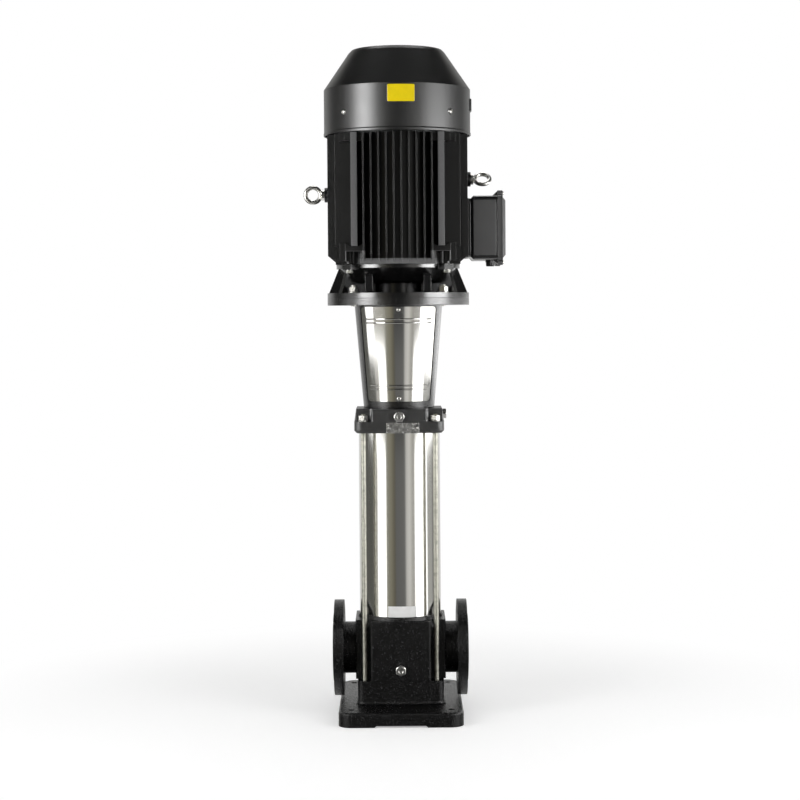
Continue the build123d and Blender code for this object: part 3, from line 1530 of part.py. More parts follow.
# Terminal box with its saddle, side panels and screw ears, open towards +X
with BuildPart() as terminal_box:
    with BuildSketch(Plane.YZ.offset(pad_reach)):
        with Locations((0, (saddle_bottom + saddle_top) / 2)):
            RectangleRounded(2 * pad_half_depth, saddle_top - saddle_bottom, box_corner)
    extrude(amount=saddle_reach - pad_reach)
    with BuildSketch(Plane.YZ.offset(saddle_reach + box_back_bevel)):
        with Locations((0, box_middle)):
            RectangleRounded(*box_outline(0), box_corner)
    extrude(amount=box_reach - saddle_reach - box_back_bevel)
    with BuildSketch(Plane.YZ.offset(saddle_reach + box_back_bevel)):
        with Locations((0, box_middle)):
            RectangleRounded(*box_outline(0), box_corner)
    extrude(amount=-box_back_bevel, taper=45)
    with BuildSketch(Plane.YZ.offset(box_reach)):
        with Locations((0, box_middle)):
            RectangleRounded(*box_outline(box_flange_margin), box_corner)
        with Locations(*lid_screw_spots()):
            Circle(ear_radius)
    extrude(amount=box_flange)
    for across in (-1, 1):
        for wall, way in ((box_bottom, -1), (box_top, 1)):
            with BuildSketch(Plane.XZ.offset(across * ear_offset)):
                Polygon(
                    (box_reach, wall - way * fuse),
                    (box_reach, wall + way * ear_ramp_rise),
                    (box_reach - ear_ramp, wall),
                    (box_reach - ear_ramp, wall - way * fuse),
                    align=None,
                )
            extrude(amount=ear_radius, both=True)
    with BuildSketch(Plane.XZ):
        with Locations(((panel_start + panel_end) / 2, box_middle)):
            RectangleRounded(panel_end - panel_start, box_top - box_bottom - 2 * panel_margin, panel_corner)
    extrude(amount=box_half_depth + panel_raise, both=True)
    with BuildSketch(Plane.YZ.offset(saddle_reach + box_wall)):
        with Locations((0, box_middle)):
            RectangleRounded(*box_outline(-2 * box_wall), box_corner)
    extrude(amount=lid_seat - saddle_reach, mode=Mode.SUBTRACT)
    with BuildSketch(Plane.YZ.offset(pad_reach)):
        with Locations((0, box_middle)):
            Circle(cable_hole_radius)
    extrude(amount=box_reach - pad_reach, mode=Mode.SUBTRACT)
    with BuildSketch(Plane.XY.offset(box_bottom)):
        with Locations((gland_offset, 0)):
            Circle(gland_thread_radius + thread_gap)
    extrude(amount=gland_thread_length, mode=Mode.SUBTRACT)
    with BuildSketch(Plane.YZ.offset(lid_seat)):
        with Locations(*lid_screw_spots()):
            Circle(lid_screw_diameter / 2 + thread_gap)
    extrude(amount=-box_flange - ear_ramp, mode=Mode.SUBTRACT)
save(terminal_box, "terminal_box")

with BuildPart() as terminal_lid:
    with BuildSketch(Plane.YZ.offset(lid_seat)):
        with Locations((0, box_middle)):
            RectangleRounded(*box_outline(box_flange_margin), box_corner)
        with Locations(*lid_screw_spots()):
            Circle(ear_radius)
    extrude(amount=lid_edge)
    with BuildSketch(Plane.YZ.offset(lid_seat + lid_edge)):
        with Locations((0, box_middle)):
            RectangleRounded(*box_outline(-lid_inset), box_corner)
    extrude(amount=lid_rise, taper=lid_taper)
    with BuildSketch(Plane.YZ.offset(lid_seat)):
        with Locations(*lid_screw_spots()):
            Circle(lid_screw_diameter / 2 + thread_gap)
    extrude(amount=lid_top - lid_seat, mode=Mode.SUBTRACT)
save(terminal_lid, "terminal_lid")

with BuildPart() as lid_screws:
    with BuildSketch(Plane.YZ.offset(lid_seat + lid_edge)):
        with Locations(*lid_screw_spots()):
            Circle(lid_screw_head / 2)
    extrude(amount=lid_screw_head_height)
    with BuildSketch(Plane.YZ.offset(lid_seat + lid_edge)):
        with Locations(*lid_screw_spots()):
            Circle(lid_screw_diameter / 2)
    extrude(amount=-lid_edge - box_flange)
save(lid_screws, "lid_screws")

# Terminal block with its six studs, on the back wall of the box
with BuildPart() as terminal_block:
    with BuildSketch(Plane.YZ.offset(saddle_reach + box_wall)):
        with Locations((0, box_middle + cable_hole_radius + terminal_height / 2)):
            Rectangle(2 * terminal_half_depth, terminal_height)
    extrude(amount=terminal_thickness)
    with BuildSketch(Plane.YZ.offset(saddle_reach + box_wall + terminal_thickness)):
        with Locations((0, box_middle + cable_hole_radius + terminal_height / 2)):
            with GridLocations(stud_spacing, terminal_height / 2, 3, 2):
                Circle(stud_radius)
    extrude(amount=stud_length)
save(terminal_block, "terminal_block")

# Cable gland in the floor of the terminal box
with BuildPart() as cable_gland:
    with BuildSketch(Plane.XY.offset(box_bottom)):
        with Locations((gland_offset, 0)):
            RegularPolygon(gland_flats / 2, 6, major_radius=False)
    extrude(amount=-gland_length)
    with BuildSketch(Plane.XY.offset(box_bottom)):
        with Locations((gland_offset, 0)):
            Circle(gland_thread_radius)
    extrude(amount=gland_thread_length)
    with BuildSketch(Plane.XY.offset(box_bottom - gland_length)):
        with Locations((gland_offset, 0)):
            Circle(cable_bore_radius)
    extrude(amount=gland_length + gland_thread_length, mode=Mode.SUBTRACT)
save(cable_gland, "cable_gland")
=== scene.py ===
"""Looks of a vertical multistage pump with a flanged motor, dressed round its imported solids.

Everything is in metres, +Z up along the shaft, with the origin under the middle of the foot.
The front of the pump is -Y, and its discharge port and terminal box are on +X.
"""

import logging
import math
from collections.abc import Callable, Iterable, Sequence
from dataclasses import dataclass, field
from enum import Enum
from functools import cache, reduce
from itertools import product
from typing import Any, Union

import bmesh
import bpy
import numpy as np
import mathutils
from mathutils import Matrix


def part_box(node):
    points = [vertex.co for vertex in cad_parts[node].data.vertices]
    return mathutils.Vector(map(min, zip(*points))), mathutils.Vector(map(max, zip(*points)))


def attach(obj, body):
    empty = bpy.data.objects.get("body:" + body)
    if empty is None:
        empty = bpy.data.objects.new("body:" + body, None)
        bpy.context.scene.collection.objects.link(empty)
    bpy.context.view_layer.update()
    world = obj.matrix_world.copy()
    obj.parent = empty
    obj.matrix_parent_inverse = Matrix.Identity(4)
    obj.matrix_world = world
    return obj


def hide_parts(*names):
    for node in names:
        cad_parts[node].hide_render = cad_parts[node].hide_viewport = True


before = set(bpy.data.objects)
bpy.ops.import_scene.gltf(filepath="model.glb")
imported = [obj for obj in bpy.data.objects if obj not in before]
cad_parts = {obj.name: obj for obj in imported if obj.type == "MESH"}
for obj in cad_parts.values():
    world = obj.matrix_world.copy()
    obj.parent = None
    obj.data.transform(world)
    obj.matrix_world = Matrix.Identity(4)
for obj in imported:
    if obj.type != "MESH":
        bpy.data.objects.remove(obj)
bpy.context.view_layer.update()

LOG = logging.getLogger("pump")
MM = 0.001
TURN = 2 * math.pi
BEVEL_SAMPLES = 6
EDGE_RANGE = (0.02, 0.3)
SHARP_ANGLE = math.radians(32)
BEVEL_ANGLE = math.radians(28)
CHAMFER = math.tan(math.radians(30))
FACE_SHARE = 0.94
COVER_LIP = 1.2 * MM
SOFT_EDGE = 0.3 * MM
PLAY = 0.1 * MM
Colour = tuple[float, float, float]
Vector = tuple[float, float, float]
Pair = tuple[float, float]
Spots = Sequence[Pair]
NEAR_BLACK = (0.01, 0.01, 0.01)
PURE_WHITE = (1.0, 1.0, 1.0)
UPRIGHT = (0.0, 0.0, 1.0)


class Body(Enum):
    """Rigid bodies that the new pieces ride on."""

    PUMP = "pump"


class Slot(Enum):
    """Names of material slots of the record, passed to the plates but not read."""

    STEEL = "bright_steel"
    SHEET = "stainless_sheet"
    MACHINED = "machined_steel"
    RUBBER = "seal_rubber"
    COVER = "cover_black"
    PLASTIC = "terminal_plastic"


def operator(operation: str, swapped: bool = False) -> Callable[["Term", "Operand"], "Term"]:
    """An operator of Term.

    Args:
        operation: Operation of the Math node, such as MULTIPLY.
        swapped: True for a reflected operator, which puts the other operand first.

    Returns:
        The method.
    """

    def run(term: "Term", other: "Operand") -> "Term":
        """Runs the operation on two values."""
        return term.math(operation, other, swapped=swapped)

    return run


class Term:
    """A shader value on which arithmetic adds Math nodes."""

    def __init__(self, graph: "Graph", socket: bpy.types.NodeSocket) -> None:
        """Keeps the graph that the value belongs to and its output socket."""
        self.graph = graph
        self.socket = socket

    def math(self, operation: str, *others: "Operand", swapped: bool = False) -> "Term":
        """Runs one Math node on this value.

        Args:
            operation: The node's operation, such as MULTIPLY.
            others: The other operands, as terms or numbers.
            swapped: True puts this value after the first of the others.

        Returns:
            The result as a new term.
        """
        operands: list[Operand] = [self, *others]
        if swapped:
            operands[0], operands[1] = operands[1], operands[0]
        made = self.graph.node("ShaderNodeMath", {"operation": operation}, dict(enumerate(operands)))
        return Term(self.graph, made.outputs[0])

    __add__ = __radd__ = operator("ADD")
    __mul__ = __rmul__ = operator("MULTIPLY")
    __sub__ = operator("SUBTRACT")
    __rsub__ = operator("SUBTRACT", swapped=True)
    __truediv__ = operator("DIVIDE")
    __pow__ = operator("POWER")

    def __neg__(self) -> "Term":
        """This value with its sign turned."""
        return self.math("MULTIPLY", -1.0)

    def __abs__(self) -> "Term":
        """Size of the value without its sign."""
        return self.math("ABSOLUTE")

    def ease(self, low: "Operand", high: "Operand") -> "Term":
        """Rises smoothly from 0 at the low value to 1 at the high value."""
        made = self.graph.node(
            "ShaderNodeMapRange",
            {"interpolation_type": "SMOOTHSTEP"},
            {"Value": self, "From Min": low, "From Max": high},
        )
        return Term(self.graph, made.outputs[0])

    def window(self, start: "Operand", end: "Operand", soft: float) -> "Term":
        """One between two values and nought outside, with edges as wide as twice the softness."""
        return self.ease(start - soft, start + soft) * (1 - self.ease(end - soft, end + soft))


Operand = Union[Term, float, int]


class Graph:
    """A node tree, with short ways to add nodes."""

    def __init__(self, tree: bpy.types.NodeTree) -> None:
        """Empties a tree and keeps it."""
        self.tree = tree
        self.tree.nodes.clear()

    def node(self, kind: str, settings: dict[str, Any] | None = None, sockets: dict[Any, Any] | None = None) -> Any:
        """Adds one node.

        Args:
            kind: Blender's name of the node type.
            settings: Attributes set first; the key stops fills a colour ramp.
            sockets: Values, terms or output sockets for its inputs, by name or place.

        Returns:
            The node.
        """
        made = self.tree.nodes.new(kind)
        for name, value in (settings or {}).items():
            if name == "stops":
                self._fill_ramp(made.color_ramp, value)
            else:
                setattr(made, name, value)
        for key, value in (sockets or {}).items():
            self.feed(made.inputs[key], value)
        return made

    @staticmethod
    def _fill_ramp(ramp: bpy.types.ColorRamp, stops: Sequence[tuple[float, Colour]]) -> None:
        """Gives a colour ramp its stops, each a place and a colour."""
        while len(ramp.elements) < len(stops):
            ramp.elements.new(1.0)
        for element, (place, colour) in zip(ramp.elements, stops):
            element.position = place
            element.color = (*colour, 1.0)

    def feed(self, socket: bpy.types.NodeSocket, value: Any) -> None:
        """Links a term or an output to an input, or sets the input's own value."""
        if isinstance(value, (Term, bpy.types.NodeSocket)):
            self.tree.links.new(getattr(value, "socket", value), socket)
        elif isinstance(value, tuple) and socket.type == "RGBA":
            socket.default_value = (*value, 1.0)
        else:
            socket.default_value = value

    def rays(self, *kinds: str) -> Term:
        """One for rays of the given kinds, named as Light Path names them, and nought for others."""
        paths = self.node("ShaderNodeLightPath").outputs
        terms = [Term(self, paths[kind]) for kind in kinds]
        return reduce(lambda seen, term: seen.math("MAXIMUM", term), terms) * 1.0

    def mixed(self, factor: Operand, first: Any, second: Any) -> bpy.types.NodeSocket:
        """Mixes two shaders by a factor."""
        return self.node("ShaderNodeMixShader", None, {0: factor, 1: first, 2: second}).outputs[0]

    def glow(self, colour: Any, strength: float = 1.0) -> bpy.types.NodeSocket:
        """An emission of one colour and a constant strength."""
        return self.node("ShaderNodeEmission", None, {"Color": colour, "Strength": strength}).outputs[0]


class Surface(Graph):
    """Node tree of one material, read in the piece's object coordinates."""

    def __init__(self, name: str) -> None:
        """Makes an empty material whose tree holds only a shader and an output."""
        self.material = bpy.data.materials.new(name)
        self.material.use_nodes = True
        super().__init__(self.material.node_tree)
        self.shader = self.node("ShaderNodeBsdfPrincipled")
        self.output = self.node("ShaderNodeOutputMaterial", None, {"Surface": self.shader.outputs[0]})
        self.place = self.node("ShaderNodeTexCoord").outputs["Object"]

    def stretched(self, scale: tuple[float, float, float]) -> bpy.types.NodeSocket:
        """Object coordinates scaled unevenly, for grain that runs one way."""
        return self.node("ShaderNodeMapping", None, {"Vector": self.place, "Scale": scale}).outputs[0]

    def axis(self, index: int) -> Term:
        """One object coordinate in metres, 0 for x, 1 for y, 2 for z."""
        split = self.node("ShaderNodeSeparateXYZ", None, {0: self.place})
        return Term(self, split.outputs[index])

    def noise(self, scale: float, detail: float = 3.0, place: Any = None, roughness: float = 0.5) -> Term:
        """Fractal noise from 0 to 1.

        Args:
            scale: Waves per metre.
            detail: Octaves.
            place: Coordinates to read in place of the object's own.
            roughness: Weight of the finer octaves.

        Returns:
            The noise as a term.
        """
        sockets = {"Vector": place or self.place, "Scale": scale, "Detail": detail, "Roughness": roughness}
        return Term(self, self.node("ShaderNodeTexNoise", None, sockets).outputs[0])

    def cells(self, scale: float, place: Any = None) -> Term:
        """Distance to the nearest point of a scattered set, scale points per metre."""
        sockets = {"Vector": place or self.place, "Scale": scale}
        return Term(self, self.node("ShaderNodeTexVoronoi", None, sockets).outputs["Distance"])

    def blend(self, factor: Any, first: Any, second: Any) -> bpy.types.NodeSocket:
        """Mixes two colours by a factor."""
        made = self.node("ShaderNodeMix", {"data_type": "RGBA"}, {0: factor, 6: first, 7: second})
        return made.outputs[2]

    def rounded(self, radius: float) -> bpy.types.NodeSocket:
        """Normal that is rounded along sharp edges by a radius in metres."""
        return self.node("ShaderNodeBevel", {"samples": BEVEL_SAMPLES}, {"Radius": radius}).outputs[0]

    def relief(self, height: Term, depth: float, round_edges: float = 0.0) -> bpy.types.NodeSocket:
        """Normal of a surface with small relief.

        Args:
            height: Relief from 0 to 1.
            depth: Metres between 0 and 1.
            round_edges: Radius by which sharp edges look rounded, in metres.

        Returns:
            The normal's socket.
        """
        sockets: dict[Any, Any] = {"Height": height, "Distance": depth, "Strength": 1.0}
        if round_edges:
            sockets["Normal"] = self.rounded(round_edges)
        return self.node("ShaderNodeBump", None, sockets).outputs[0]

    def edge_mask(self, radius: float) -> Term:
        """One along sharp edges and nought on faces, from how a rounded normal leaves the true one."""
        rounded = self.rounded(radius)
        true = self.node("ShaderNodeNewGeometry").outputs["Normal"]
        made = self.node("ShaderNodeVectorMath", {"operation": "DOT_PRODUCT"}, {0: rounded, 1: true})
        return (1 - Term(self, made.outputs["Value"])).ease(*EDGE_RANGE)

    def surface(self, **sockets: Any) -> bpy.types.Material:
        """Sets the shader's inputs, with spaces in their names written as underscores."""
        for name, value in sockets.items():
            self.feed(self.shader.inputs[name.replace("_", " ")], value)
        return self.material


@dataclass(frozen=True)
class Finish:
    """A finish with the name of its material; each kind gives the shader its own inputs."""

    name: str

    def inputs(self, graph: Surface) -> dict[str, Any]:
        """Inputs of the shader by name, with underscores for the spaces."""
        raise NotImplementedError

    def material(self) -> bpy.types.Material:
        """Builds the finish as a material."""
        graph = Surface(self.name)
        return graph.surface(**self.inputs(graph))


@dataclass(frozen=True)
class CastPaint(Finish):
    """Black paint over a sand casting, pitted and grainy, its edges lighter from wear and painted highlight.

    The relief is coarse noise for the sand's grain, plus fine noise, less the pits of a cell
    pattern. The roughness follows the same grain, so that high spots catch the light, and the
    high spots are also painted lighter as painted glints.
    """

    dark: Colour = (0.0008, 0.0008, 0.0009)
    light: Colour = (0.0035, 0.0035, 0.0036)
    grain: float = 190.0
    depth: float = 2.4 * MM
    gloss: float = 0.17
    edge: float = 2.2 * MM
    # Colour of the lighter edges and grain spots: partly wear, partly painted highlight and painted glints.
    wear_and_glint_tone: Colour = (0.08, 0.08, 0.082)
    shine: float = 0.3
    bend: float = 1.6
    # Share of the grain's high spots painted lighter as painted glints.
    painted_glint_share: float = 0.7
    # Colour of the painted highlight on the frame's fronts.
    ground: Colour = (0.14, 0.14, 0.142)

    def painted_highlight_share(self, graph: Surface) -> Term | None:
        """Share of the surface painted lighter as a highlight, or None on a casting that has none."""
        return None

    def inputs(self, graph: Surface) -> dict[str, Any]:
        """Inputs that give this kind its look."""
        coarse = graph.noise(self.grain, 4.0, roughness=0.62)
        fine = graph.noise(self.grain * 4.1, 2.0)
        pits = graph.cells(self.grain * 1.7).ease(0.0, 0.35)
        clouds = graph.noise(9.0, 2.0)
        height = coarse * 0.62 + fine * 0.14 + pits * 0.24
        # Lighter edges: partly edge wear, partly painted highlight along the edges.
        edge_wear_and_highlight = graph.edge_mask(self.edge * 0.6) * graph.noise(70.0, 3.0).ease(0.42, 0.7)
        tint = graph.blend(coarse * 0.55 + clouds * 0.45, self.dark, self.light)
        tint = graph.blend(edge_wear_and_highlight * 0.5, tint, self.wear_and_glint_tone)
        # Painted glints: the grain's high spots are painted lighter in the base colour.
        tint = graph.blend(coarse.ease(0.58, 0.68) * fine.ease(0.45, 0.6) * self.painted_glint_share, tint, self.wear_and_glint_tone)
        # Painted highlight: where a share is given, the fronts are painted lighter.
        painted_highlight_share = self.painted_highlight_share(graph)
        if painted_highlight_share is not None:
            tint = graph.blend((coarse * 0.6 + 0.55) * painted_highlight_share, tint, self.ground)
        return dict(
            Base_Color=tint,
            Roughness=self.gloss + coarse * 0.2 - clouds * 0.06,
            IOR=self.bend,
            Specular_IOR_Level=self.shine,
            Normal=graph.relief(height, self.depth, self.edge),
        )


@dataclass(frozen=True)
class FramePaint(CastPaint):
    """Black paint over the finned frame, whose rails, foot bar and bracket rims have fronts painted lighter as
    highlight.
    """

    rails: Pair = (110 * MM, 128.5 * MM)
    rail_front: float = -171.5 * MM
    bar_half: float = 88 * MM
    bar_top: float = 1279.5 * MM
    brackets: Pair = (88 * MM, 146 * MM)
    bracket_front: float = -158.5 * MM
    bracket_top: float = 1300 * MM
    blur: float = 0.6 * MM

    def below(self, value: Term, limit: float) -> Term:
        """One below a limit and nought above it, with an edge as wide as the blur."""
        return 1 - value.ease(limit, limit + self.blur)

    def painted_highlight_share(self, graph: Surface) -> Term | None:
        """One on the fronts of the rails, the foot bar and the brackets, by their place."""
        # Painted highlight on the fronts of the rails, the foot bar and the bracket rims, found by place.
        side, depth, level = abs(graph.axis(0)), graph.axis(1), graph.axis(2)
        rail = side.window(*self.rails, self.blur) * self.below(depth, self.rail_front - self.blur)
        bar = self.below(side, self.bar_half) * self.below(level, self.bar_top)
        rim = side.window(*self.brackets, self.blur) * self.below(level, self.bracket_top)
        front = self.below(depth, self.bracket_front - self.blur)
        return rail.math("MAXIMUM", bar.math("MAXIMUM", rim) * front)


@dataclass(frozen=True)
class SheetPaint(Finish):
    """Even satin paint on pressed sheet or plastic, with a slight orange peel."""

    colour: Colour = (0.003, 0.003, 0.0031)
    peel: float = 420.0
    depth: float = 0.05 * MM
    gloss: float = 0.34
    edge: float = 1.2 * MM
    shine: float = 0.8
    bend: float = 1.6

    def inputs(self, graph: Surface) -> dict[str, Any]:
        """Inputs that give this kind its look."""
        skin = graph.noise(self.peel, 2.0)
        dust = graph.noise(28.0, 4.0)
        lighter = tuple(channel * 1.7 for channel in self.colour)
        scuffs = graph.noise(160.0, 5.0, roughness=0.7).ease(0.62, 0.8)
        return dict(
            Base_Color=graph.blend(dust * 0.5, self.colour, lighter),
            Roughness=self.gloss + dust * 0.08 + scuffs * 0.05,
            IOR=self.bend,
            Specular_IOR_Level=self.shine,
            Normal=graph.relief(skin, self.depth, self.edge),
        )


@dataclass(frozen=True)
class BoxPaint(Finish):
    """Paint of the terminal box: glossy black round the raised panels, rougher and painted lighter as sheen on them
    and on the lid.
    """

    black: Colour = (0.003, 0.003, 0.0031)
    # Lighter colour of the panels and the lid side: painted sheen.
    sheen_grey: Colour = (0.03, 0.03, 0.0305)
    panel_x: Pair = (211 * MM, 273 * MM)
    panel_z: Pair = (1288 * MM, 1442 * MM)
    flange_x: float = 277.5 * MM
    blur: float = 1.5 * MM
    peel: float = 420.0
    depth: float = 0.08 * MM
    edge: float = 1.2 * MM
    gloss: float = 0.2
    bend: float = 1.6
    shine: float = 0.9

    def inputs(self, graph: Surface) -> dict[str, Any]:
        """Inputs that give this kind its look."""
        across, level = graph.axis(0), graph.axis(2)
        panel = across.window(*self.panel_x, self.blur) * level.window(*self.panel_z, self.blur)
        flange = across.ease(self.flange_x, self.flange_x + self.blur)
        # Painted sheen: the panels and the lid side are painted lighter as well as made rougher.
        satin_and_sheen = panel.math("MAXIMUM", flange)
        skin = graph.noise(self.peel, 2.0)
        dust = graph.noise(28.0, 4.0)
        return dict(
            Base_Color=graph.blend(satin_and_sheen * (dust * 0.4 + 0.7), self.black, self.sheen_grey),
            Roughness=satin_and_sheen * 0.2 + dust * 0.08 + self.gloss,
            IOR=self.bend,
            Specular_IOR_Level=self.shine,
            Normal=graph.relief(skin, self.depth, self.edge),
        )


@dataclass(frozen=True)
class PolishedSheet(Finish):
    """Stainless sheet polished round the shaft axis.

    Very flat noise stands for the polishing grooves, and noise that is long up the sheet for the
    slight waves of a rolled tube. Both tilt the normal, and the grooves vary the roughness too.
    """

    dark: Colour = (0.63, 0.62, 0.585)
    light: Colour = (0.8, 0.795, 0.775)
    gloss: float = 0.07
    groove: float = 0.004 * MM
    wave: float = 0.1 * MM

    def inputs(self, graph: Surface) -> dict[str, Any]:
        """Inputs that give this kind its look."""
        grooves = graph.noise(1.0, 5.0, graph.stretched((9.0, 9.0, 2600.0)), 0.7)
        waves = graph.noise(1.0, 2.0, graph.stretched((26.0, 26.0, 1.3)))
        smears = graph.noise(1.0, 4.0, graph.stretched((14.0, 14.0, 3.0)))
        height = grooves * (self.groove / self.wave) + waves
        return dict(
            Base_Color=graph.blend(smears * 0.6 + grooves * 0.4, self.dark, self.light),
            Metallic=1.0,
            Roughness=self.gloss + grooves * 0.06 + smears * 0.04,
            Normal=graph.relief(height, self.wave),
        )


@dataclass(frozen=True)
class PlatedSteel(Finish):
    """Small steel parts, plated or turned bright, with stains and handling marks."""

    dark: Colour = (0.46, 0.45, 0.42)
    light: Colour = (0.84, 0.83, 0.8)
    gloss: float = 0.2
    depth: float = 0.03 * MM
    edge: float = 0.4 * MM
    grain: float = 600.0

    def inputs(self, graph: Surface) -> dict[str, Any]:
        """Inputs that give this kind its look."""
        marks = graph.noise(self.grain, 4.0)
        stains = graph.noise(90.0, 3.0)
        return dict(
            Base_Color=graph.blend((stains * 0.7 + marks * 0.3).ease(0.25, 0.6), self.dark, self.light),
            Metallic=1.0,
            Roughness=self.gloss + marks * 0.16,
            Normal=graph.relief(marks, self.depth, self.edge),
        )


@dataclass(frozen=True)
class LayeredMetal(Finish):
    """Metal whose marks run in level rings, such as turned shafts, stacked sheets or windings."""

    dark: Colour
    light: Colour
    pitch: float
    gloss: float = 0.3
    depth: float = 0.1 * MM

    def inputs(self, graph: Surface) -> dict[str, Any]:
        """Inputs that give this kind its look."""
        level = graph.axis(2) * (TURN / self.pitch)
        rings = level.math("SINE") * 0.5 + 0.5
        cloud = graph.noise(45.0, 3.0)
        return dict(
            Base_Color=graph.blend(rings * 0.6 + cloud * 0.4, self.dark, self.light),
            Metallic=1.0,
            Roughness=self.gloss + cloud * 0.14,
            Normal=graph.relief(rings, self.depth),
        )


@dataclass(frozen=True)
class Moulding(Finish):
    """Rubber, plastic or enamel, with a fine moulded grain and faint clouds."""

    colour: Colour
    gloss: float = 0.45
    grain: float = 900.0
    depth: float = 0.04 * MM
    spread: float = 0.25
    shine: float = 0.5

    def inputs(self, graph: Surface) -> dict[str, Any]:
        """Inputs that give this kind its look."""
        skin = graph.noise(self.grain, 3.0)
        cloud = graph.noise(55.0, 3.0)
        duller = tuple(channel * (1 - self.spread) for channel in self.colour)
        return dict(
            Base_Color=graph.blend(cloud.ease(0.3, 0.75), self.colour, duller),
            Roughness=self.gloss + skin * 0.12,
            Specular_IOR_Level=self.shine,
            Normal=graph.relief(skin, self.depth),
        )


CAST_BLACK = CastPaint("cast_paint")
HEAD_BLACK = CastPaint("head_paint", grain=300.0, depth=1.0 * MM, gloss=0.3, shine=0.95)
STOOL_BLACK = CastPaint("stool_paint", grain=300.0, depth=0.5 * MM, gloss=0.14, edge=1.6 * MM, shine=0.8, painted_glint_share=0.4)
SHIELD_BLACK = CastPaint("shield_paint", grain=420.0, depth=0.1 * MM, gloss=0.14, edge=1.4 * MM, shine=0.8, painted_glint_share=0.2)
MOTOR_BLACK = FramePaint("motor_paint", grain=420.0, depth=0.3 * MM, gloss=0.34, edge=1.4 * MM, shine=0.5, painted_glint_share=0.3)
COVER_BLACK = SheetPaint("cover_paint")
BOX_BLACK = BoxPaint("box_paint")
STAINLESS = PolishedSheet("polished_sheet")
PLATED = PlatedSteel("plated_steel")
ZINC = PlatedSteel("zinc_rod", (0.34, 0.335, 0.29), (0.58, 0.57, 0.5), 0.4, edge=0.2 * MM)
TURNED = LayeredMetal("turned_steel", (0.4, 0.4, 0.39), (0.66, 0.66, 0.64), 0.9 * MM, 0.22, 0.02 * MM)
LAMINATED = LayeredMetal("laminated_steel", (0.2, 0.2, 0.21), (0.42, 0.42, 0.43), 1.0 * MM, 0.4)
WINDING = LayeredMetal("varnished_copper", (0.32, 0.1, 0.03), (0.62, 0.25, 0.1), 1.6 * MM, 0.3, 0.3 * MM)
IRON = PlatedSteel("machined_iron", (0.1, 0.1, 0.1), (0.2, 0.2, 0.2), 0.4, 0.1 * MM)
CARBIDE = PlatedSteel("lapped_carbide", (0.05, 0.05, 0.055), (0.1, 0.1, 0.11), 0.16)
RUBBER = Moulding("seal_rubber_skin", (0.012, 0.012, 0.012), 0.6)
FAN_PLASTIC = Moulding("fan_plastic_skin", (0.025, 0.025, 0.026), 0.42)
GLAND_PLASTIC = Moulding("gland_plastic_skin", (0.012, 0.012, 0.013), 0.35)
YELLOW = Moulding("yellow_enamel", (0.86, 0.66, 0.0), 0.55, 700.0, 0.03 * MM, 0.08, 0.12)
WHITE = Moulding("white_tag", (0.8, 0.8, 0.79), 0.5, 800.0, 0.03 * MM, 0.06)
FOIL = PlatedSteel("brushed_foil", (0.3, 0.3, 0.295), (0.92, 0.92, 0.91), 0.16, 1.6 * MM, grain=190.0)

CARRIED_FINISHES: dict[Finish, tuple[str, ...]] = {
    CAST_BLACK: ("pump_base",),
    HEAD_BLACK: ("pump_head",),
    STOOL_BLACK: ("motor_stool",),
    SHIELD_BLACK: ("drive_end_shield",),
    MOTOR_BLACK: ("motor_frame", "fan_end_shield"),
    COVER_BLACK: ("fan_cover",),
    BOX_BLACK: ("terminal_box", "terminal_lid"),
    STAINLESS: (
        *("outer_sleeve", "coupling_guard_front", "coupling_guard_rear", "inlet_plate", "discharge_ring"),
        *("stage_chamber_1", "stage_chamber_2", "stage_chamber_3"),
        *("impeller_1", "impeller_2", "impeller_3", "shaft_spacers"),
    ),
    PLATED: ("lifting_eyebolts", "seal_gland_screws", "coupling_bolts", "stool_screws"),
    TURNED: (
        *("pump_shaft", "motor_shaft", "shaft_nut", "seal_gland"),
        *("drive_bearing_outer", "drive_bearing_inner", "drive_bearing_balls"),
        *("fan_bearing_outer", "fan_bearing_inner", "fan_bearing_balls"),
    ),
    LAMINATED: ("stator_core", "rotor_core"),
    WINDING: ("stator_windings",),
    IRON: ("coupling_half_front", "coupling_half_rear"),
    CARBIDE: ("journal_bushes", "seal_seat", "seal_face"),
    RUBBER: ("sleeve_rings",),
    FAN_PLASTIC: ("cooling_fan", "terminal_block"),
}


@cache
def material_of(finish: Finish) -> bpy.types.Material:
    """The material of a finish, made on its first use."""
    return finish.material()


def dress_carried() -> None:
    """Puts the finishes on the slots of the solids that are shown as they are."""
    for finish, names in CARRIED_FINISHES.items():
        for name in names:
            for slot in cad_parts[name].material_slots:
                slot.material = material_of(finish)
            LOG.info("%s takes %s", name, finish.name)


@dataclass(frozen=True)
class Seat:
    """Where a small piece sits: a point, the direction it stands up in, and its own x direction."""

    point: Vector
    up: Vector = UPRIGHT
    across: Vector = (1.0, 0.0, 0.0)

    @classmethod
    def on_front(cls, radius: float, shift: float, level: float) -> "Seat":
        """Seat on the front of a cylinder about the shaft axis, shifted round it towards +X."""
        angle = shift / radius
        outward = (math.sin(angle), -math.cos(angle), 0.0)
        across = (math.cos(angle), math.sin(angle), 0.0)
        return cls((radius * outward[0], radius * outward[1], level), outward, across)

    def place(self, points: np.ndarray) -> np.ndarray:
        """Moves points from the seat's own axes to the frame.

        Args:
            points: Array whose last axis holds x, y and z on the seat.

        Returns:
            The same points in the frame, as the point plus each coordinate times its direction.
        """
        up = np.array(self.up, float)
        up /= np.linalg.norm(up)
        across = np.array(self.across, float)
        across -= up * (across @ up)
        across /= np.linalg.norm(across)
        basis = np.stack([across, np.cross(up, across), up])
        return np.array(self.point) + points @ basis


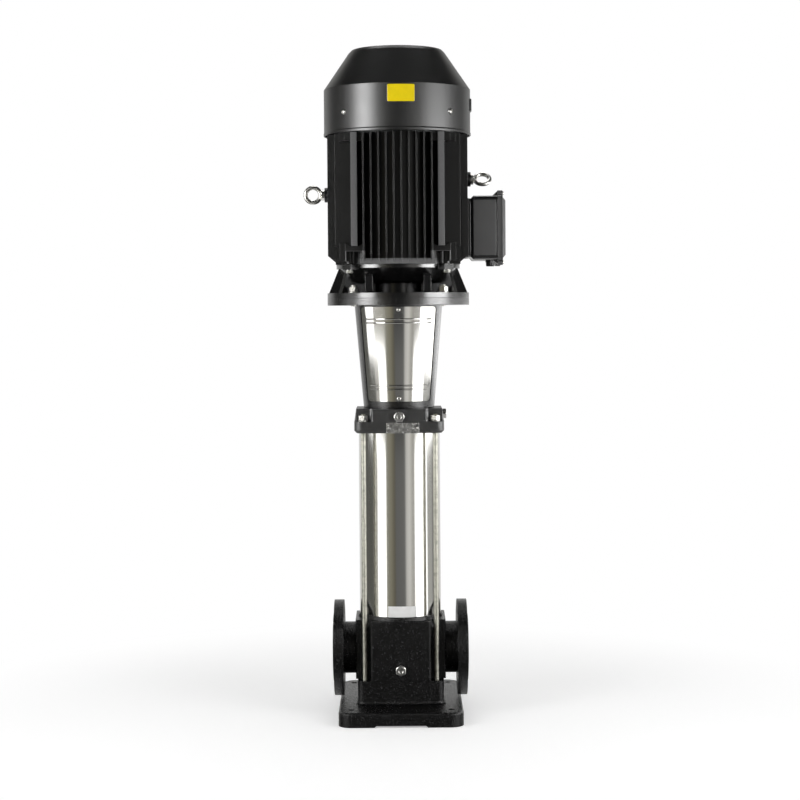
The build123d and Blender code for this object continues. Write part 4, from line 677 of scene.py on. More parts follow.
def quads(rows: int, columns: int, start: int, wrap_rows: bool) -> np.ndarray:
    """Corner numbers of the quads of a grid whose columns close into a ring.

    Args:
        rows: Number of rows.
        columns: Number of columns.
        start: Number of the grid's first vertex.
        wrap_rows: True also joins the last row to the first.

    Returns:
        One row of four vertex numbers for each quad.
    """
    row = np.arange(rows if wrap_rows else rows - 1)[:, None]
    column = np.arange(columns)[None, :]
    next_row, next_column = (row + 1) % rows, (column + 1) % columns
    corners = [row * columns + column, row * columns + next_column]
    corners += [next_row * columns + next_column, next_row * columns + column]
    return np.stack([corner.ravel() for corner in corners], axis=1) + start


def make_piece(
    name: str,
    grids: Iterable[np.ndarray],
    finish: Finish,
    replaced: Sequence[str] = (),
    ring: bool = False,
    soften: float = 0.0,
    body: Body = Body.PUMP,
) -> bpy.types.Object:
    """Makes one piece from closed grids of points and puts it on its body.

    Args:
        name: Name of the piece.
        grids: Arrays of rows by columns by three; columns run round, and rows from pole to pole.
        finish: The piece's finish.
        replaced: Nodes that the piece stands for.
        ring: True where the rows close on themselves in place of ending in poles.
        soften: Radius of a bevel along sharp edges, in metres.
        body: Body that the piece rides on.

    Returns:
        The finished object.
    """
    points, faces, start = [], [], 0
    for grid in grids:
        rows, columns, _ = grid.shape
        points.append(grid.reshape(-1, 3))
        faces.append(quads(rows, columns, start, ring))
        start += rows * columns
    mesh = bpy.data.meshes.new(name)
    mesh.from_pydata(np.concatenate(points).tolist(), [], np.concatenate(faces).tolist())
    shell = bmesh.new()
    shell.from_mesh(mesh)
    bmesh.ops.remove_doubles(shell, verts=shell.verts, dist=0.002 * MM)
    bmesh.ops.dissolve_degenerate(shell, edges=shell.edges, dist=0.001 * MM)
    bmesh.ops.recalc_face_normals(shell, faces=shell.faces)
    shell.to_mesh(mesh)
    shell.free()
    mesh.materials.append(material_of(finish))
    piece = bpy.data.objects.new(name, mesh)
    bpy.context.scene.collection.objects.link(piece)
    mesh.shade_smooth()
    mesh.set_sharp_from_angle(angle=SHARP_ANGLE)
    if soften:
        bevel = piece.modifiers.new("soft_edges", "BEVEL")
        bevel.width, bevel.segments, bevel.limit_method = soften, 2, "ANGLE"
        bevel.angle_limit = BEVEL_ANGLE
        bevel.harden_normals = True
    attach(piece, body.value)
    if replaced:
        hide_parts(*replaced)
    LOG.info("%s: %d faces on %s", name, len(mesh.polygons), body.value)
    return piece


def turned(radii: Any, levels: Any, columns: int = 48) -> np.ndarray:
    """Surface of revolution about the seat's own z.

    Args:
        radii: Radius of each row, or of each row at each column.
        levels: Height of each row, or of each row at each column.
        columns: Number of steps round.

    Returns:
        Grid of points: radius times cosine, radius times sine, height.
    """
    angle = np.arange(columns) * TURN / columns
    radius = np.array(radii, float)
    level = np.array(levels, float)
    radius = radius[:, None] if radius.ndim == 1 else radius
    level = level[:, None] if level.ndim == 1 else level
    radius, level = np.broadcast_arrays(radius + 0 * angle, level + 0 * angle)
    return np.stack([radius * np.cos(angle), radius * np.sin(angle), level], axis=-1)


def profile(rows: Sequence[tuple[Any, Any]], columns: int = 48) -> np.ndarray:
    """Surface of revolution from rows of radius and height, each one number or a value per column."""
    radii, levels = (np.stack([np.broadcast_to(row[part], columns) for row in rows]) for part in (0, 1))
    return turned(radii, levels, columns)


def hexagon(flats: float, columns: int = 48) -> np.ndarray:
    """Radius of a hexagon at each column: half its flats over the cosine of the angle off the flat."""
    angle = np.arange(columns) * TURN / columns
    return flats / 2 / np.cos((angle + TURN / 12) % (TURN / 6) - TURN / 12)


def hex_head(flats: float, height: float, dish: float, collar: float, shank: float, length: float) -> np.ndarray:
    """Chamfered hexagon head on a round shank.

    The top is flat to just inside the flats, then falls at 30 degrees to the hexagon's outline, so
    the corners end in the curved chamfer of a real head.

    Args:
        flats: Width across the flats.
        height: Height above the seat.
        dish: Radius of the shallow round recess in the top, or 0.
        collar: Height of the washer face under the hexagon.
        shank: Radius of the shank.
        length: Length of the shank below the seat.

    Returns:
        Grid of points on the head's own seat.
    """
    outline = hexagon(flats)
    face, rim = FACE_SHARE * flats / 2, 0.97 * flats / 2
    brow = height - (outline - face) * CHAMFER
    floor = height - (0.16 * height if dish else 0.0)
    crown = [(0.0, floor), (0.8 * dish, floor), (dish, height), (face, height)]
    sides = [(outline, brow), (outline, collar), (rim, 0.8 * collar), (rim, 0.0)]
    return profile([*crown, *sides, (shank, 0.0), (shank, -length), (0.0, -length)])


def hex_nut(flats: float, height: float, bore: float) -> np.ndarray:
    """Nut chamfered at both ends, as a closed ring about its bore.

    Args:
        flats: Width across the flats.
        height: Height of the nut.
        bore: Radius of its hole.

    Returns:
        Grid of points whose rows close on themselves.
    """
    outline = hexagon(flats)
    face, mouth = FACE_SHARE * flats / 2, 1.12 * bore
    fall = (outline - face) * CHAMFER
    hole = [(bore, 0.06 * height), (bore, 0.94 * height), (mouth, height)]
    return profile([*hole, (face, height), (outline, height - fall), (outline, fall), (face, 0.0), (mouth, 0.0)])


def washer(outer: float, inner: float, height: float) -> np.ndarray:
    """Flat washer with its rolled edge, as a closed ring of rows round its section."""
    edge = 0.25 * height
    radii = [inner, inner, outer - edge, outer, outer, outer - edge]
    levels = [0, height, height, height - edge, edge, 0]
    return turned(radii, levels)


def threaded(radius: float, low: float, high: float, pitch: float, depth: float) -> np.ndarray:
    """Threaded end of a stud, chamfered at its tip.

    The radius falls by the depth in a triangle wave of height over pitch less the share of a turn,
    which winds into one helix.

    Args:
        radius: Outer radius of the thread.
        low: Height where the thread starts.
        high: Height of the tip.
        pitch: Rise for each turn.
        depth: Depth of the thread.

    Returns:
        Grid of points from the lower centre to the tip's centre.
    """
    columns, steps = 24, max(4, int(8 * (high - low) / pitch))
    share = np.arange(columns) / columns
    level = np.linspace(low, high, steps)[:, None] + 0 * share
    wave = np.abs(2 * ((level / pitch - share) % 1.0) - 1)
    body = radius - depth * wave
    tip = np.clip((high - level) / (1.2 * depth), 0, 1)
    body = np.minimum(body, radius - 1.4 * depth * (1 - tip))
    centre = np.zeros((1, columns))
    radii = np.concatenate([centre, body, centre])
    levels = np.concatenate([level[:1], level, level[-1:]])
    return turned(radii, levels, columns)


@dataclass(frozen=True)
class PanScrew:
    """Sizes of a screw: radius and height of its head, radius and length of its shank."""

    head: float
    height: float
    shank: float
    length: float


def cross_head(screw: PanScrew) -> np.ndarray:
    """Pan head with a cross recess on a plain shank.

    The head is a flattened dome, the height times the root of one less the fourth power of the
    radius share. The recess is as deep as both arms' smooth steps across and along allow.

    Args:
        screw: Sizes of the screw.

    Returns:
        Grid of points on the screw's own seat.
    """
    columns = 64
    share = np.linspace(0, 1, 20)[:, None]
    angle = np.arange(columns) * TURN / columns
    x, y = np.abs(share * np.cos(angle)), np.abs(share * np.sin(angle))
    across, along = np.minimum(x, y), np.maximum(x, y)
    arm = np.clip((0.15 - across) / 0.05, 0, 1) * np.clip((0.56 - along) / 0.12, 0, 1)
    dome = screw.height * np.sqrt(np.clip(1 - share**4, 0, 1)) + 0 * angle
    top = dome - 0.5 * screw.height * arm
    shank = np.repeat([[screw.shank], [screw.shank], [0.0]], columns, axis=1)
    radii = np.concatenate([screw.head * share + 0 * angle, shank])
    below = np.repeat([[0.0], [-screw.length], [-screw.length]], columns, axis=1)
    return turned(radii, np.concatenate([top, below]), columns)


def rounded_outline(width: float, height: float, corner: float) -> np.ndarray:
    """Outline of a rectangle with round corners, with points spread along its straight sides.

    Args:
        width: Size along x.
        height: Size along y.
        corner: Radius of the corners.

    Returns:
        Points in order round the outline: for each corner a quarter circle about its own centre,
        then even steps to where the next corner starts.
    """
    right, top = width / 2 - corner, height / 2 - corner
    quarter = np.linspace(0, TURN / 4, 6)
    wide, tall = (2 * right, 24), (2 * top, 8)
    turns = ((right, top, *wide), (-right, top, *tall), (-right, -top, *wide), (right, -top, *tall))
    parts = []
    for turn, (x, y, length, steps) in enumerate(turns):
        angle = quarter + turn * TURN / 4
        arc = np.stack([x + corner * np.cos(angle), y + corner * np.sin(angle)], axis=-1)
        ahead = np.array([-math.sin(angle[-1]), math.cos(angle[-1])])
        side = arc[-1] + np.linspace(0, 1, steps + 1)[1:-1, None] * length * ahead
        parts += [arc, side]
    return np.concatenate(parts)


@dataclass(frozen=True)
class PlateSize:
    """Sizes of a plate: width, height, radius of its corners and thickness."""

    width: float
    height: float
    corner: float
    thickness: float


def plate(size: PlateSize, bend: float = 0.0) -> np.ndarray:
    """Thin plate with round corners, bent about its own y if a bend radius is given.

    Rows are the outline scaled from the middle out and back again underneath. A bend turns x into an
    angle of x over the radius and lifts the surface along that angle.

    Args:
        size: Sizes of the plate, its width along x and its height along y.
        bend: Radius of the surface that it lies on, or 0 for a flat one.

    Returns:
        Grid of points with the underside on the seat.
    """
    outline = rounded_outline(size.width, size.height, size.corner)
    soft = 0.3 * size.thickness / min(size.width, size.height)
    shares = np.array([0, 0.3, 0.6, 0.85, 1 - 2 * soft, 1, 1, 0.85, 0.6, 0.3, 0])
    lifts = size.thickness * np.array([1, 1, 1, 1, 1, 0.75, 0, 0, 0, 0, 0])
    x = shares[:, None] * outline[None, :, 0]
    y = shares[:, None] * outline[None, :, 1]
    z = lifts[:, None] + 0 * x
    if bend:
        x, z = (bend + z) * np.sin(x / bend), (bend + z) * np.cos(x / bend) - bend
    return np.stack([x, y, z], axis=-1)


def tube_round(outline: np.ndarray, radius: float, columns: int = 10) -> np.ndarray:
    """Tube of a given radius along a flat closed outline.

    Each section is a circle in the plane of the outline's outward normal and the seat's z.

    Args:
        outline: Points of the outline, x and y.
        radius: Radius of the tube.
        columns: Steps round the section.

    Returns:
        Grid whose rows follow the outline and close on themselves.
    """
    ahead = np.roll(outline, -1, axis=0) - np.roll(outline, 1, axis=0)
    ahead /= np.linalg.norm(ahead, axis=1)[:, None]
    outward = np.stack([ahead[:, 1], -ahead[:, 0]], axis=-1)
    angle = np.arange(columns) * TURN / columns
    flat = outline[:, None, :] + radius * np.cos(angle)[None, :, None] * outward[:, None, :]
    level = np.broadcast_to(radius * np.sin(angle), flat.shape[:2])
    return np.concatenate([flat, level[..., None]], axis=-1)


def corners_of(node: str) -> tuple[np.ndarray, np.ndarray]:
    """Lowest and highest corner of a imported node, as arrays."""
    low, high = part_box(node)
    return np.array(low), np.array(high)


def four(reach: float) -> Spots:
    """The corners of a square about the axis, each x and y the reach to one side."""
    return list(product((-reach, reach), repeat=2))


def stood(grid: np.ndarray, spots: Spots, level: float, across: Vector = (1.0, 0.0, 0.0)) -> list[np.ndarray]:
    """Copies of a grid that stand upright at several spots of one level."""
    return [Seat((x, y, level), UPRIGHT, across).place(grid) for x, y in spots]


@dataclass
class Staybolts:
    """The four long bolts between base and head, with their washers and nuts."""

    rod: float = 7 * MM
    washer_height: float = 3 * MM
    washer_radius: float = 14 * MM
    flats: float = 24 * MM
    pitch: float = 2 * MM
    thread: float = 1.1 * MM

    def build(self) -> None:
        """Builds rods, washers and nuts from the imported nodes' boxes."""
        low, high = corners_of("staybolts")
        nut_low, nut_high = corners_of("staybolt_nuts")
        spots = four(high[0] - self.rod)
        thread_start = nut_low[2] - self.washer_height
        shaft = turned([0, self.rod, self.rod, 0], [low[2], low[2], thread_start, thread_start], 32)
        tip = threaded(self.rod, thread_start, high[2], self.pitch, self.thread)
        ring = washer(self.washer_radius, self.rod + 3 * PLAY, self.washer_height)
        nut = hex_nut(self.flats, nut_high[2] - nut_low[2], self.rod + PLAY)
        rods = [*stood(shaft, spots, 0.0), *stood(tip, spots, 0.0)]
        make_piece("staybolt_rods", rods, ZINC, ["staybolts"])
        washers = stood(ring, spots, thread_start)
        make_piece("staybolt_rings", washers, PLATED, ["staybolt_washers"], ring=True)
        nuts = stood(nut, spots, nut_low[2], (1, 0.2, 0))
        make_piece("staybolt_hexagons", nuts, PLATED, ["staybolt_nuts"], ring=True, soften=SOFT_EDGE)


@dataclass
class Plugs:
    """Drain plug, vent plug and side plug, each a chamfered hexagon with a washer face."""

    flats: float = 27 * MM
    head: float = 13 * MM
    thread: float = 10.4 * MM
    length: float = 18 * MM
    dish: float = 6.5 * MM
    collar: float = 3 * MM
    soft: float = 0.4 * MM

    def build(self) -> None:
        """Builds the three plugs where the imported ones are."""
        grid = hex_head(self.flats, self.head, self.dish, self.collar, self.thread, self.length)
        for name, flat_towards in (("drain_plug", (1, 0, 0)), ("vent_plug", UPRIGHT), ("side_plug", UPRIGHT)):
            low, high = corners_of(name)
            middle = (low + high) / 2
            if name == "side_plug":
                seat = Seat((high[0] - self.head, middle[1], middle[2]), (1, 0, 0), flat_towards)
            else:
                seat = Seat((middle[0], low[1] + self.head, middle[2]), (0, -1, 0), flat_towards)
            make_piece(f"{name}_hexagon", [seat.place(grid)], PLATED, [name], soften=self.soft)


@dataclass
class FlangeBolts:
    """Studs, washers and nuts between the motor flange and the stool, and the end shield bolts."""

    circle: float = 350 * MM
    stud: float = 8 * MM
    washer_radius: float = 15 * MM
    washer_height: float = 3 * MM
    flats: float = 24 * MM
    pitch: float = 2 * MM
    thread: float = 1.2 * MM
    socket: float = 134 * MM
    bolt_flats: float = 18 * MM
    bolt_head: float = 9 * MM
    bolt_shank: float = 6 * MM
    bolt_grip: float = 30 * MM

    def build(self) -> None:
        """Builds the flange's studs and nuts, then the end shields' bolts."""
        spots = four(self.circle / 2 * math.cos(TURN / 8))
        low, high = corners_of("motor_studs")
        nut_low, nut_high = corners_of("motor_nuts")
        stud = threaded(self.stud, low[2], high[2], self.pitch, self.thread)
        make_piece("flange_studs", stood(stud, spots, 0.0), PLATED, ["motor_studs"])
        ring = washer(self.washer_radius, self.stud + PLAY, self.washer_height)
        nut = hex_nut(self.flats, nut_high[2] - nut_low[2] - self.washer_height, self.stud + PLAY)
        rings = stood(ring, spots, nut_low[2])
        make_piece("flange_washers", rings, PLATED, ["motor_nuts"], ring=True)
        nuts = stood(nut, spots, nut_low[2] + self.washer_height, (1, 0.3, 0))
        make_piece("flange_nuts", nuts, PLATED, ring=True, soften=SOFT_EDGE)
        bolt_low, bolt_high = corners_of("end_shield_bolts")
        head = hex_head(self.bolt_flats, self.bolt_head, 0.0, 1 * MM, self.bolt_shank, self.bolt_grip)
        bolts = [
            Seat((x, y, level - way * self.bolt_head), (0, 0, way), (1, 0.4, 0)).place(head)
            for level, way in ((bolt_low[2], -1), (bolt_high[2], 1))
            for x, y in four(self.socket)
        ]
        make_piece("end_shield_hexagons", bolts, PLATED, ["end_shield_bolts"], soften=SOFT_EDGE)


@dataclass
class CrossScrews:
    """Screws with a cross recess in the fan cover, the coupling guards and the terminal lid."""

    cover: PanScrew = PanScrew(7.5 * MM, 5 * MM, 4 * MM, 7 * MM)
    guard: PanScrew = PanScrew(5.5 * MM, 3.6 * MM, 3 * MM, 12 * MM)
    lid: PanScrew = PanScrew(5.5 * MM, 4 * MM, 3 * MM, 20 * MM)

    def build(self) -> None:
        """Builds the three sets of screws."""
        self.build_cover_screws()
        self.build_guard_screws()
        self.build_lid_screws()

    def build_cover_screws(self) -> None:
        """Builds the fan cover's four screws, which stand outward at 45 degrees to the axes."""
        low, high = corners_of("fan_cover_screws")
        _, cover_high = corners_of("fan_cover")
        reach = cover_high[0] - COVER_LIP
        screw = cross_head(self.cover)
        level = (low[2] + high[2]) / 2
        grids = []
        for turn in (1, 3, 5, 7):
            outward = (math.cos(turn * TURN / 8), math.sin(turn * TURN / 8), 0.0)
            grids.append(Seat((reach * outward[0], reach * outward[1], level), outward, UPRIGHT).place(screw))
        make_piece("cover_cross_screws", grids, PLATED, ["fan_cover_screws"])

    def build_guard_screws(self) -> None:
        """Builds the guards' four screws, whose lower and upper pairs stand at different reach."""
        points = np.array([vertex.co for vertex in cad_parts["guard_screws"].data.vertices])
        middle = (points[:, 2].min() + points[:, 2].max()) / 2
        screw = cross_head(self.guard)
        grids = []
        for pair in (points[points[:, 2] < middle], points[points[:, 2] > middle]):
            level = (pair[:, 2].min() + pair[:, 2].max()) / 2
            reach = pair[:, 1].max() - self.guard.height
            for way in (-1, 1):
                grids.append(Seat((0.0, way * reach, level), (0, way, 0), (1, 0, 1)).place(screw))
        make_piece("guard_cross_screws", grids, PLATED, ["guard_screws"])

    def build_lid_screws(self) -> None:
        """Builds the lid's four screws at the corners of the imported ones."""
        low, high = corners_of("lid_screws")
        screw = cross_head(self.lid)
        inset = self.lid.head
        grids = [
            Seat((high[0] - self.lid.height, y, z), (1, 0, 0), (0, 1, 0.3)).place(screw)
            for y, z in product(*((low[axis] + inset, high[axis] - inset) for axis in (1, 2)))
        ]
        make_piece("lid_cross_screws", grids, PLATED, ["lid_screws"])


@dataclass
class Plates:
    """Blank plates and tags: yellow on the fan cover, foil on the head, white on the sleeve."""

    cover: PlateSize = PlateSize(74.5 * MM, 46.7 * MM, 3 * MM, 0.4 * MM)
    dark_rim: PlateSize = PlateSize(76.9 * MM, 49.1 * MM, 3 * MM, 0.4 * MM)
    cover_shift: float = 11 * MM
    cover_level: float = 1727 * MM
    foil: PlateSize = PlateSize(91 * MM, 29 * MM, 1.2 * MM, 0.8 * MM)
    foil_shift: float = 10 * MM
    tag: PlateSize = PlateSize(81 * MM, 31 * MM, 0.8 * MM, 0.25 * MM)
    tag_shift: float = 5.5 * MM
    tag_level: float = 297 * MM
    side: PlateSize = PlateSize(60 * MM, 34 * MM, 3 * MM, 4 * MM)
    side_level: float = 1712 * MM

    def build(self) -> None:
        """Builds each plate on the surface that carries it."""
        _, cover = corners_of("fan_cover")
        _, sleeve = corners_of("outer_sleeve")
        radius = cover[0] - COVER_LIP
        front = Seat.on_front(radius, self.cover_shift, self.cover_level)
        # A black plate a little larger than the yellow one lies under it, so a dark rim shows round it.
        self.lay("cover_plate_dark_rim", self.dark_rim, radius, front, COVER_BLACK, Slot.COVER)
        radius += self.dark_rim.thickness
        front = Seat.on_front(radius, self.cover_shift, self.cover_level)
        self.lay("cover_plate", self.cover, radius, front, YELLOW, Slot.COVER)
        self.head_plate(sleeve[2])
        radius = float(sleeve[0])
        front = Seat.on_front(radius, self.tag_shift, self.tag_level)
        self.lay("sleeve_tag", self.tag, radius, front, WHITE, Slot.SHEET)
        radius = cover[0] - COVER_LIP
        side = Seat((radius, 0.0, self.side_level), (1, 0, 0), (0, 1, 0))
        self.lay("cover_side_plate", self.side, radius, side, COVER_BLACK, Slot.COVER, 0.6 * MM)

    @staticmethod
    def lay(
        name: str, size: PlateSize, bend: float, seat: Seat, finish: Finish, slot: Slot, soften: float = 0.0
    ) -> None:
        """Lays one plate on a seat, bent to the radius under it."""
        make_piece(name, [seat.place(plate(size, bend))], finish, soften=soften)

    def head_plate(self, foot: float) -> None:
        """Builds the foil plate on the head's band from its foot upward, with its two drive rivets."""
        low, _ = corners_of("pump_head")
        level = foot + self.foil.height / 2
        seat = Seat((self.foil_shift, low[1], level), (0, -1, 0))
        self.lay("head_plate", self.foil, 0.0, seat, FOIL, Slot.SHEET)
        dome = turned(np.array([0, 0.9, 1.7, 2.2, 2.2, 0]) * MM, np.array([1.5, 1.3, 0.8, 0.1, 0, 0]) * MM, 20)
        reach = 0.44 * self.foil.width
        rivets = [
            Seat((x, low[1] - self.foil.thickness, level), (0, -1, 0)).place(dome)
            for x in (self.foil_shift - reach, self.foil_shift + reach)
        ]
        make_piece("head_plate_rivets", rivets, PLATED)


@dataclass
class PortFaces:
    """Turned sealing faces on the two port flanges, with their record grooves."""

    level: float = 180 * MM
    reach: float = 190 * MM
    inner: float = 62.6 * MM
    outer: float = 93.8 * MM
    groove: float = 1.6 * MM
    depth: float = 0.25 * MM

    def build(self) -> None:
        """Builds both faces as a ring whose height is a triangle wave of the radius."""
        count = int((self.outer - self.inner) / self.groove)
        radius = np.linspace(self.inner, self.outer, 2 * count + 1)
        height = np.where(np.arange(len(radius)) % 2, 0.1 * MM, self.depth + 0.1 * MM)
        radii = np.concatenate([[self.inner], radius, [self.outer]])
        levels = np.concatenate([[0.0], height, [0.0]])
        ring = turned(radii, levels, 96)
        for name, way in (("suction_face", -1), ("discharge_face", 1)):
            seat = Seat((way * self.reach, 0.0, self.level), (way, 0, 0), (0, 1, 0))
            make_piece(f"{name}_grooves", [seat.place(ring)], TURNED, ring=True)


@dataclass
class BoxTrim:
    """Gasket of the terminal box and the cable gland under it."""

    lid_width: float = 182 * MM
    lid_height: float = 180 * MM
    lid_corner: float = 10 * MM
    gasket: float = 0.8 * MM
    gland_flats: float = 27 * MM
    bore: float = 8.5 * MM
    cap: float = 12.6 * MM
    nut_height: float = 6 * MM
    thread: float = 11 * MM
    thread_length: float = 18 * MM
    ribs: int = 12
    rib_depth: float = 0.035

    def build(self) -> None:
        """Builds the gasket round the joint, then the gland."""
        low, high = corners_of("terminal_lid")
        middle = (low + high) / 2
        outline = rounded_outline(self.lid_width, self.lid_height, self.lid_corner)
        seat = Seat((low[0], middle[1], middle[2]), (1, 0, 0), (0, 1, 0))
        make_piece("lid_gasket", [seat.place(tube_round(outline, self.gasket))], RUBBER, ring=True)
        self.gland()

    def gland(self) -> None:
        """Builds the gland as a hexagon and a ribbed cap round an open bore."""
        low, high = corners_of("cable_gland")
        seat_level = high[2] - self.thread_length
        length = seat_level - low[2]
        outline = hexagon(self.gland_flats)
        angle = np.arange(len(outline)) * TURN / len(outline)
        ribbed = self.cap * (1 - self.rib_depth * (np.cos(self.ribs * angle) < 0))
        neck, start = 0.9 * self.cap, -self.thread_length
        nut = [(outline, 0.0), (outline, self.nut_height), (neck, self.nut_height), (neck, self.nut_height + 0.6 * MM)]
        cap = [(ribbed, self.nut_height + 0.8 * MM), (ribbed, length - 2.5 * MM), (0.86 * self.cap, length)]
        grid = profile([(self.bore, start), (self.thread, start), (self.thread, 0.0), *nut, *cap, (self.bore, length)])
        seat = Seat(((low[0] + high[0]) / 2, 0.0, seat_level), (0, 0, -1))
        make_piece("gland_body", [seat.place(grid)], GLAND_PLASTIC, ["cable_gland"], ring=True)


@dataclass(frozen=True)
class Softbox:
    """A softbox in degrees of azimuth.

    Its sides stand at start and end low down, and at start_high and end_high by the coupling. The
    fade is the share of its light that it loses high up.
    """

    start: float
    end: float
    start_high: float
    end_high: float
    fade: float

    def window(self, azimuth: Term, lean: Term, soft: float) -> Term:
        """One inside the softbox and nought outside, at a lean from 0 low down to 1 by the coupling."""
        start = lean * (self.start_high - self.start) + self.start
        end = lean * (self.end_high - self.end) + self.end
        return azimuth.window(start, end, soft)


@dataclass
class Studio:
    """Camera, pale floor, soft lamps, and the surroundings that only reflections see.

    The surroundings are a drum round the object. Its azimuths are counted in degrees from the
    camera towards +X, and its levels in metres.
    """

    distance: float = 5.311
    eye: float = 1.1353
    lens: float = 84.4
    tilt: float = 1.675
    lean: float = 0.4
    axis_column: float = 398.4
    frame_drop: float = 34.4
    frame_pixels: float = 800.0
    drum_radius: float = 2.6
    drum_levels: Pair = (-4.0, 3.3)
    slant_start: Pair = (0.56, 0.7)
    slant_end: Pair = (1.06, 1.16)
    boxes: tuple[Softbox, ...] = (
        Softbox(-63.0, -38.5, -98.0, -72.0, 0.0),
        Softbox(43.0, 82.0, 61.0, 158.0, 0.98),
    )
    box_soft: float = 2.0
    box_fade: Pair = (1.6, 1.85)
    box_top: Pair = (2.1, 2.5)
    box_foot: Pair = (-0.45, -0.28)
    box_foot_share: float = 0.25
    glow_rise: Pair = (1.06, 1.18)
    low_glow: float = 2.6
    high_glow: float = 13.0
    shades: tuple[tuple[float, Colour], ...] = (
        (-180.0, (0.35, 0.35, 0.34)), (-158.0, (0.8, 0.8, 0.78)), (-136.0, (0.6, 0.59, 0.56)),
        (-120.0, (0.14, 0.14, 0.13)), (-96.0, (0.12, 0.12, 0.11)), (-80.0, (0.12, 0.12, 0.105)),
        (-74.0, (0.55, 0.54, 0.51)), (-40.0, (0.38, 0.37, 0.32)), (-34.0, (0.29, 0.285, 0.235)),
        (-24.0, (0.25, 0.235, 0.18)), (-14.0, (0.14, 0.13, 0.1)), (-10.0, (0.15, 0.15, 0.148)),
        (14.0, (0.17, 0.17, 0.165)), (18.0, (0.6, 0.59, 0.57)), (27.0, (0.74, 0.73, 0.7)),
        (38.0, (0.42, 0.41, 0.38)), (80.0, (0.2, 0.2, 0.19)), (88.0, (0.46, 0.46, 0.44)),
        (101.0, (0.44, 0.44, 0.42)), (108.0, (0.2, 0.2, 0.19)), (120.0, (0.2, 0.2, 0.19)),
        (136.0, (0.6, 0.59, 0.56)), (158.0, (0.8, 0.8, 0.78)), (180.0, (0.35, 0.35, 0.34)),
    )
    front_dark: Colour = (0.05, 0.05, 0.052)
    front_half: float = 13.0
    front_rise: Pair = (0.5, 0.75)
    front_share: float = 0.9
    rear: Colour = (0.8, 0.8, 0.79)
    rear_start: Pair = (120.0, 135.0)
    rear_levels: Pair = (0.3, 2.2)
    lit_levels: Pair = (-0.27, 2.35)
    under_share: float = 0.95
    lid_glow: float = 7.0
    lid_x: Pair = (-0.6, 0.6)
    lid_y: Pair = (0.4, 1.0)
    ambient: float = 0.42
    lamp_azimuths: Pair = (-50.0, 50.0)
    lamp_radius: float = 2.2
    lamp_width: float = 1.2
    lamp_height: float = 2.6
    lamp_glow: float = 2.1
    floor_size: float = 16.0
    floor_light: Colour = (0.9, 0.9, 0.9)
    floor_dark: Colour = (0.86, 0.86, 0.86)
    floor_glow: float = 0.35
    fade: Pair = (0.55, 1.5)
    pieces: list[bpy.types.Object] = field(default_factory=list)

    def build(self) -> None:
        """Builds the camera, the floor, the lights and the surroundings."""
        self.camera()
        self.floor()
        self.world()
        self.drum()
        for azimuth in self.lamp_azimuths:
            self.lamp(azimuth)
        bpy.context.scene.view_settings.view_transform = "Standard"

    def camera(self) -> None:
        """Places the camera at the photograph's eye point, tilted and shifted a little down."""
        data = bpy.data.cameras.new("studio_camera")
        data.lens = self.lens
        middle = self.frame_pixels / 2
        data.shift_x = (middle - self.axis_column) / self.frame_pixels
        data.shift_y = -self.frame_drop / self.frame_pixels
        camera = bpy.data.objects.new("studio_camera", data)
        camera.location = (0.0, -self.distance, self.eye)
        camera.rotation_euler = (math.radians(90 - self.tilt), math.radians(self.lean), 0.0)
        bpy.context.scene.collection.objects.link(camera)
        bpy.context.scene.camera = camera

    def stand(self, name: str, points: np.ndarray, faces: np.ndarray, graph: Surface) -> bpy.types.Object:
        """Adds one staged surface.

        Args:
            name: Name of the object.
            points: Its corners.
            faces: Corner numbers of its faces.
            graph: Its material.

        Returns:
            The object.
        """
        mesh = bpy.data.meshes.new(name)
        mesh.from_pydata(points.tolist(), [], faces.tolist())
        mesh.materials.append(graph.material)
        made = bpy.data.objects.new(name, mesh)
        bpy.context.scene.collection.objects.link(made)
        self.pieces.append(made)
        return made

    def floor(self) -> None:
        """Lays the pale floor, which keeps the shadow and fades to plain white further out."""
        graph = Surface("floor_paper")
        speck = graph.noise(60.0, 3.0)
        graph.surface(Base_Color=graph.blend(speck, self.floor_dark, self.floor_light), Roughness=0.9)
        radius = (graph.axis(0) ** 2.0 + graph.axis(1) ** 2.0) ** 0.5
        faded = radius.ease(*self.fade)
        white = graph.glow(PURE_WHITE)
        paper = graph.shader.outputs[0]
        lit = graph.node("ShaderNodeAddShader", None, {0: paper, 1: graph.glow(PURE_WHITE, self.floor_glow)})
        seen = graph.mixed(faded, lit.outputs[0], white)
        shown = graph.mixed(graph.rays("Is Camera Ray"), paper, seen)
        graph.feed(graph.output.inputs["Surface"], shown)
        corners = np.array([(-1, -1, 0), (1, -1, 0), (1, 1, 0), (-1, 1, 0)])
        points = corners * self.floor_size / 2
        self.stand("floor", points, np.array([[0, 1, 2, 3]]), graph).visible_glossy = False

    def world(self) -> None:
        """Makes the surroundings white for the camera and for reflections, and dimmer as a light."""
        world = bpy.data.worlds.new("studio_world")
        world.use_nodes = True
        graph = Graph(world.node_tree)
        seen = graph.rays("Is Camera Ray", "Is Glossy Ray", "Is Transmission Ray")
        dim = graph.node("ShaderNodeBackground", None, {"Color": PURE_WHITE, "Strength": self.ambient})
        white = graph.node("ShaderNodeBackground", None, {"Color": PURE_WHITE, "Strength": 1.0})
        both = graph.mixed(seen, dim.outputs[0], white.outputs[0])
        graph.node("ShaderNodeOutputWorld", None, {"Surface": both})
        bpy.context.scene.world = world

